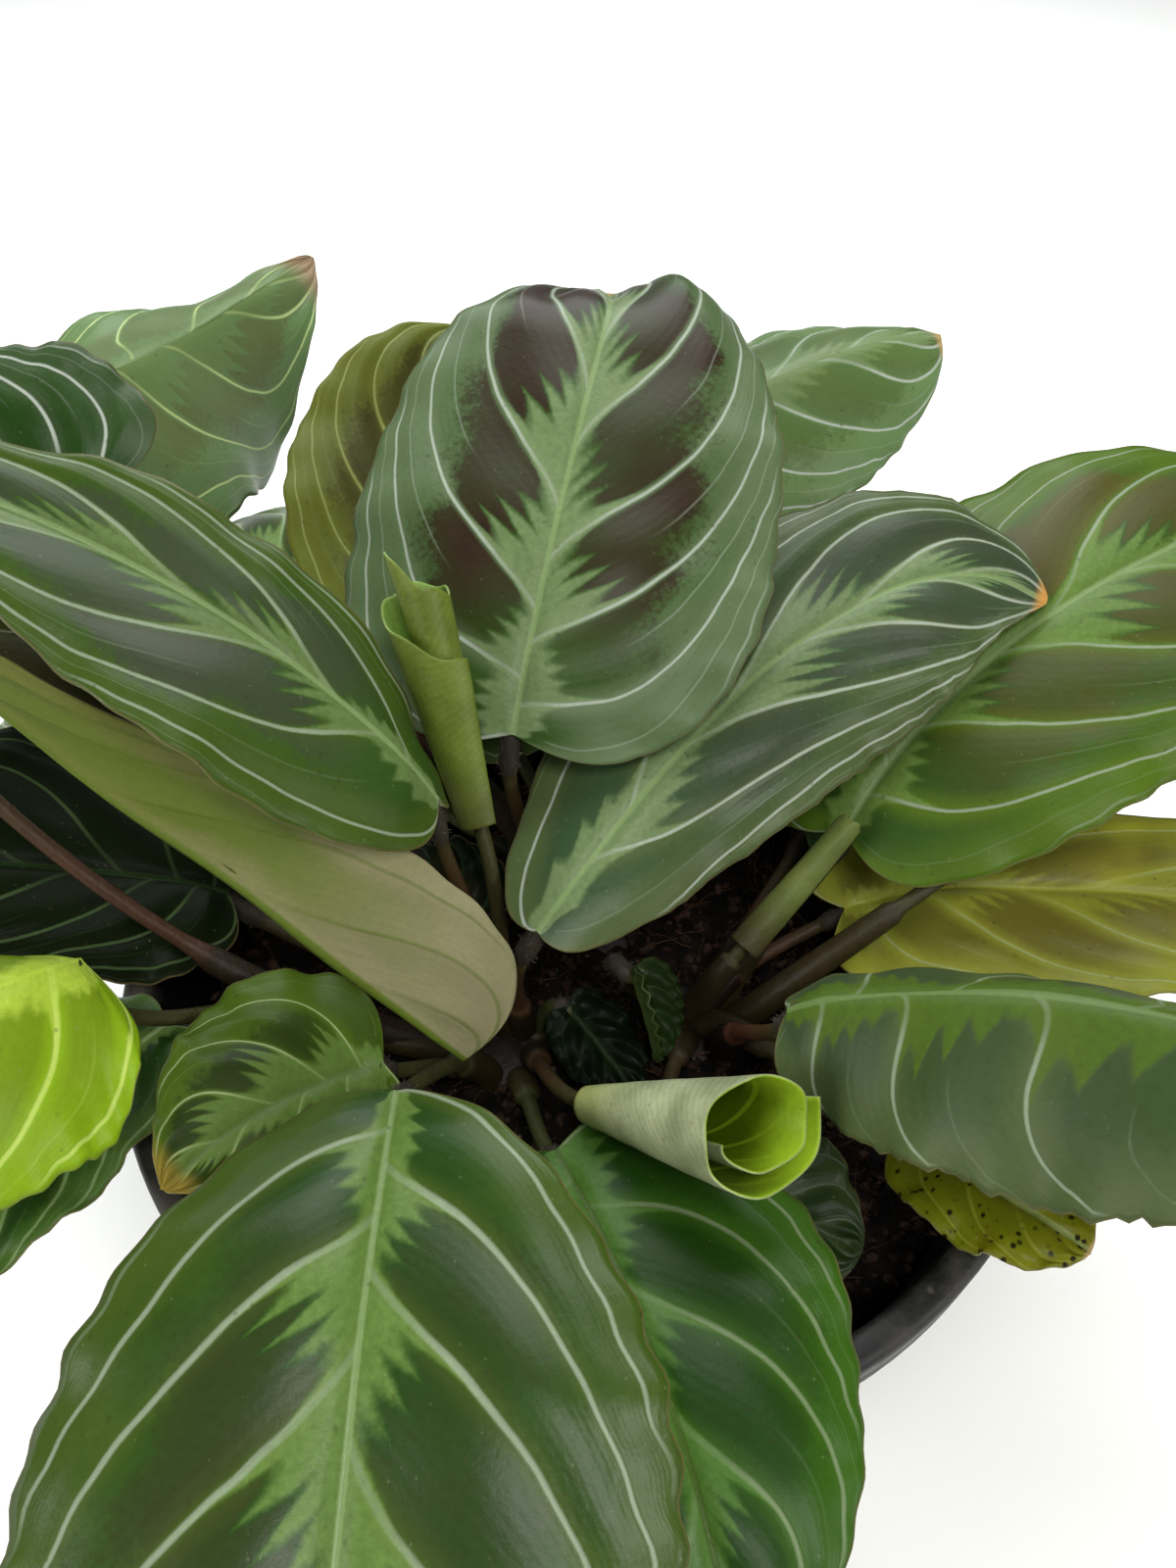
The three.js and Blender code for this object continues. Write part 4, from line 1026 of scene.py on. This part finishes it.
# %% Scatter a small shape with Geometry Nodes
def scatter_tree(name, mark, material, shape, tilt):
    tree = bpy.data.node_groups.new(name, "GeometryNodeTree")
    graph = Graph(tree)
    tree.interface.new_socket("Geometry", in_out="INPUT", socket_type="NodeSocketGeometry")
    for label in ("Density", "Smallest", "Largest"):
        tree.interface.new_socket(label, in_out="INPUT", socket_type="NodeSocketFloat")
    tree.interface.new_socket("Seed", in_out="INPUT", socket_type="NodeSocketInt")
    tree.interface.new_socket("Geometry", in_out="OUTPUT", socket_type="NodeSocketGeometry")
    entry = tree.nodes.new("NodeGroupInput")
    given = {s.name: Amount(graph, s) for s in entry.outputs if s.name}
    marked = graph.node("GeometryNodeInputNamedAttribute", {"data_type": "FLOAT"}, {"Name": mark})
    sockets = {"Mesh": given["Geometry"], "Density": given["Density"] * marked, "Seed": given["Seed"]}
    points = graph.node("GeometryNodeDistributePointsOnFaces", None, sockets)
    rotation = Amount(graph, points.socket.node.outputs["Rotation"])
    spin = graph.node("FunctionNodeRandomValue", {"data_type": "FLOAT_VECTOR"},
                      {"Min": (-tilt, -tilt, -3.1), "Max": (tilt, tilt, 3.1), "Seed": given["Seed"]})
    turn = graph.node("FunctionNodeEulerToRotation", None, {"Euler": spin})
    rotation = graph.node("FunctionNodeRotateRotation", {"rotation_space": "LOCAL"},
                          {"Rotation": rotation, "Rotate By": turn})
    size = graph.node("FunctionNodeRandomValue", {"data_type": "FLOAT"},
                      {"Min": given["Smallest"], "Max": given["Largest"], "Seed": given["Seed"]})
    sockets = {"Points": points, "Instance": shape(graph), "Rotation": rotation, "Scale": size}
    placed = graph.node("GeometryNodeInstanceOnPoints", None, sockets)
    real = graph.node("GeometryNodeRealizeInstances", None, {"Geometry": placed})
    done = graph.node("GeometryNodeSetMaterial", None, {"Geometry": real, "Material": material})
    graph.node("NodeGroupOutput", None, {"Geometry": done})
    return tree


def scatter(name, host, tree, slot, **inputs):
    """Settles a plain mesh of what the tree scatters over the host's faces."""
    carrier = placed(name + "_carrier", host.data)
    modifier = carrier.modifiers.new(name, "NODES")
    modifier.node_group = tree
    for item in tree.interface.items_tree:
        if item.in_out == "INPUT" and item.name in inputs:
            modifier[item.identifier] = inputs[item.name]
    evaluated = carrier.evaluated_get(bpy.context.evaluated_depsgraph_get())
    mesh = bpy.data.meshes.new_from_object(evaluated)
    bpy.data.objects.remove(carrier)
    mesh.name = name
    settle(placed(name, mesh), None, slot)
    print(name, "faces:", len(mesh.polygons))


# %% Hairs on the joints
def hair_shape(graph):
    settings = {"fill_type": "NGON"}
    sockets = {"Vertices": 3, "Radius Top": 0.00001, "Radius Bottom": 0.000035, "Depth": 0.0006}
    return graph.node("GeometryNodeMeshCone", settings, sockets)


hair = Finish("hair_finish")
hair_tone = hair.cloud(400)
hair_color = hair.blend(hair_tone, "3e3a2e", "625c4c")
hair_material = hair.surface(hair_color, 0.6 + 0.1 * hair_tone, hair_tone, 0.00005)
hair_tree = scatter_tree("joint_hairs", "joint", hair_material, hair_shape, 0.6)
for crown_name, piece in crown_pieces.items():
    scatter(crown_name + "_hairs", piece, hair_tree, "stalk",
            Density=1.6e6, Smallest=0.6, Largest=1.3, Seed=len(crown_name))

# %% [markdown]
# The soil is a closed block with a rough top. Its own relief comes from noise in several sizes,
# and loose crumbs and coir fibres lie on it.

# %% Soil
SOIL_FOOT = 2.8
SOIL_RADIUS = 57.6
SOIL_RINGS = 56
SOIL_SIDES = 190


def soil_profile():
    wall = [(0, SOIL_FOOT), (40.0, SOIL_FOOT), (42.8, SOIL_FOOT + 2), (SOIL_RADIUS, SOIL_TOP - 2)]
    top = [(SOIL_RADIUS * (1 - i / SOIL_RINGS), SOIL_TOP) for i in range(1, SOIL_RINGS)]
    return wall + top + [(0, SOIL_TOP)]


def rough_soil(point):
    if point.z < SOIL_TOP - 0.5:
        return point
    lumps = math.sin(0.29 * point.x + 0.8) * math.cos(0.33 * point.y)
    lumps += 0.6 * math.sin(0.61 * point.x - 0.47 * point.y)
    grain = 1.1 * noise.noise(point * 0.22) + 0.7 * noise.noise(point * 0.6)
    grain += 0.4 * noise.noise(point * 1.4)
    return point + Vector((0, 0, 0.8 * lumps + grain))


soil_points, soil_quads = turned(soil_profile(), SOIL_SIDES, rough_soil)
top_mark = (soil_points[:, 2] > SOIL_TOP - 4).astype(float)
soil = make_mesh("soil_block", soil_points, soil_quads, (), {"top": top_mark})


def soil_finish(name, dark, light, rough):
    made = Finish(name)
    lumps = made.cloud(260, 4.0, 0.6)
    grit = made.cloud(1500, 3.0, 0.6)
    color = made.blend(lumps.rising(0.35, 0.7), dark, light)
    color = made.scaled(color, 0.7 + 0.6 * grit)
    color = made.blend(made.specks(420, 0.2, 0.12) * 0.6, color, "6a6256")
    return made.surface(color, rough + 0.1 * grit, lumps + grit, 0.0006, 0.9, Specular_IOR_Level=0.1)


# The soil's near-black colours are partly its own damp tone and partly painted shade from the leaves
# above.
settle(soil, soil_finish("damp_soil_painted_shade", "060504", "1b130d", 0.75), "potting_mix", "soil")
print("soil faces:", len(soil.data.polygons))


# %% Crumbs and fibres on the soil
def crumb_shape(graph):
    ball = graph.node("GeometryNodeMeshIcoSphere", None, {"Radius": 0.001, "Subdivisions": 1})
    sockets = {"Geometry": ball, "Scale": (1.0, 0.75, 0.6)}
    return graph.node("GeometryNodeTransform", None, sockets)


def fibre_shape(graph):
    sockets = {"Start": (-0.5, 0, 0), "Start Handle": (-0.2, 0.25, 0.05),
               "End Handle": (0.2, -0.2, 0.12), "End": (0.5, 0.05, 0.0), "Resolution": 6}
    line = graph.node("GeometryNodeCurvePrimitiveBezierSegment", None, sockets)
    ring = graph.node("GeometryNodeCurvePrimitiveCircle", None, {"Resolution": 3, "Radius": 0.011})
    sockets = {"Curve": line, "Profile Curve": ring, "Fill Caps": True}
    return graph.node("GeometryNodeCurveToMesh", None, sockets)


crumb_material = soil_finish("loose_crumbs", "0f0a07", "46332a", 0.8)
fibre_material = soil_finish("coir_fibres", "2c1c12", "5a4230", 0.7)
crumb_tree = scatter_tree("soil_crumbs", "top", crumb_material, crumb_shape, 3.1)
fibre_tree = scatter_tree("soil_fibres", "top", fibre_material, fibre_shape, 0.35)
scatter("soil_crumbs", soil, crumb_tree, "potting_mix",
        Density=2.6e5, Smallest=0.25, Largest=1.3, Seed=3)
scatter("soil_fibres", soil, fibre_tree, "potting_mix",
        Density=4.5e4, Smallest=0.003, Largest=0.013, Seed=5)

# %% [markdown]
# The pot is turned from one profile, like the mould that shapes it: a foot with a rounded edge,
# a tapering wall, and a stepped rim band that is rolled over at the top. Six drain holes are
# cut through the floor.

# %% Pot
RIM = 65.0
POT_HEIGHT = 100.0
LIP = 1.3
FOOT = 46.0
POT_FLOOR = 2.5
POT_SIDES = 128
HOLES = 6
HOLE_CIRCLE = 32.0
HOLE = 3.5


def straight(first, last, steps):
    """Points of a straight line, without its first one."""
    ways = [i / steps for i in range(1, steps + 1)]
    return [tuple(a + (b - a) * way for a, b in zip(first, last)) for way in ways]


def arc(center, radius, start, stop, steps):
    angles = [math.radians(start + (stop - start) * i / steps) for i in range(steps + 1)]
    return [(center[0] + radius * math.cos(a), center[1] + radius * math.sin(a)) for a in angles]


def pot_profile():
    outside = [(0, 0), (36, 0), (37, 0.8), (39, 0.8), (40, 0)]
    outside += arc((44.2, 1.8), 1.8, -90, -8, 6)
    outside += straight((FOOT, 2), (61.2, 90.4), 12)
    outside += arc((63.6, 92.0), 0.9, -120, -10, 5)
    outside += [(64.65, 94.5), (64.45, 94.9), (64.75, 95.3)]
    outside += arc((RIM - LIP, POT_HEIGHT - LIP), LIP, 0, 90, 6)
    inside = arc((62.3, 98.6), 1.35, 90, 180, 5)
    inside += [(60.6, 97.0), (59.9, 92.5), (59.5, 90.0)]
    inside += straight((59.5, 90.0), (44.6, 4.0), 8)
    inside += arc((43.1, 4.0), 1.5, 0, -90, 4)[1:]
    return outside + inside + [(0, POT_FLOOR)]


pot_points, pot_faces = turned(pot_profile(), POT_SIDES)
pot = make_mesh("pot_shell", pot_points, pot_faces)
drill_points = []
drill_faces = []
for hole in range(HOLES):
    angle = 2 * math.pi * hole / HOLES
    middle = np.array([HOLE_CIRCLE * math.cos(angle), HOLE_CIRCLE * math.sin(angle), 0])
    corners, quads = turned([(0, -4), (HOLE, -4), (HOLE, 7), (0, 7)], 28)
    drill_faces += [[corner + len(drill_points) for corner in face] for face in quads]
    drill_points += [tuple(corner + middle) for corner in corners]
drill = make_mesh("drain_drill", drill_points, drill_faces)
cut = pot.modifiers.new("drain_holes", "BOOLEAN")
cut.operation = "DIFFERENCE"
cut.solver = "EXACT"
cut.object = drill
bpy.context.view_layer.update()
cut_mesh = bpy.data.meshes.new_from_object(pot.evaluated_get(bpy.context.evaluated_depsgraph_get()))
pot.modifiers.clear()
pot.data = cut_mesh
bpy.data.objects.remove(drill)
pot.data.set_sharp_from_angle(angle=math.radians(35))
print("pot faces:", len(pot.data.polygons))

# %% [markdown]
# The moulded plastic is a satin black, not a flat one: faint turning lines, fine scuffs and a pale
# band round the top of the rim that is partly dust and partly a painted highlight.

# %% The pot's finish
# How many turning lines there are in a metre of height.
TURNING_LINES = 700


def pot_finish():
    made = Finish("moulded_black_plastic")
    height = made.node("ShaderNodeSeparateXYZ", None, {"Vector": made.place}, out="Z")
    patches = made.cloud(90, 5.0, 0.65)
    grain = made.cloud(1400, 3.0, 0.6)
    scuff = made.cloud(60, 4.0, 0.6, stretch=(1, 1, 8)) - 0.5
    rings = (height * (2 * math.pi * TURNING_LINES)).maths("SINE")
    # The top of the rim is paled in patches: partly dust, partly a painted highlight along the rim.
    dust_and_highlight = height.rising(0.088, 0.1) * patches.rising(0.42, 0.72)
    dust_and_highlight = (dust_and_highlight + made.specks(500, 0.25, 0.35) * height.rising(0.08, 0.1)).least(1)
    color = made.blend(scuff.rising(0.0, 0.3), "0b0c0d", "141516")
    color = made.blend(dust_and_highlight * 0.3, color, "6a655c")
    rough = 0.38 + 0.2 * scuff + 0.3 * dust_and_highlight + 0.1 * grain
    relief = 0.25 * rings + grain + patches
    return made.surface(color, rough, relief, 0.0001, 0.6, Specular_IOR_Level=0.3)


settle(pot, pot_finish(), "pot_plastic", "pot")
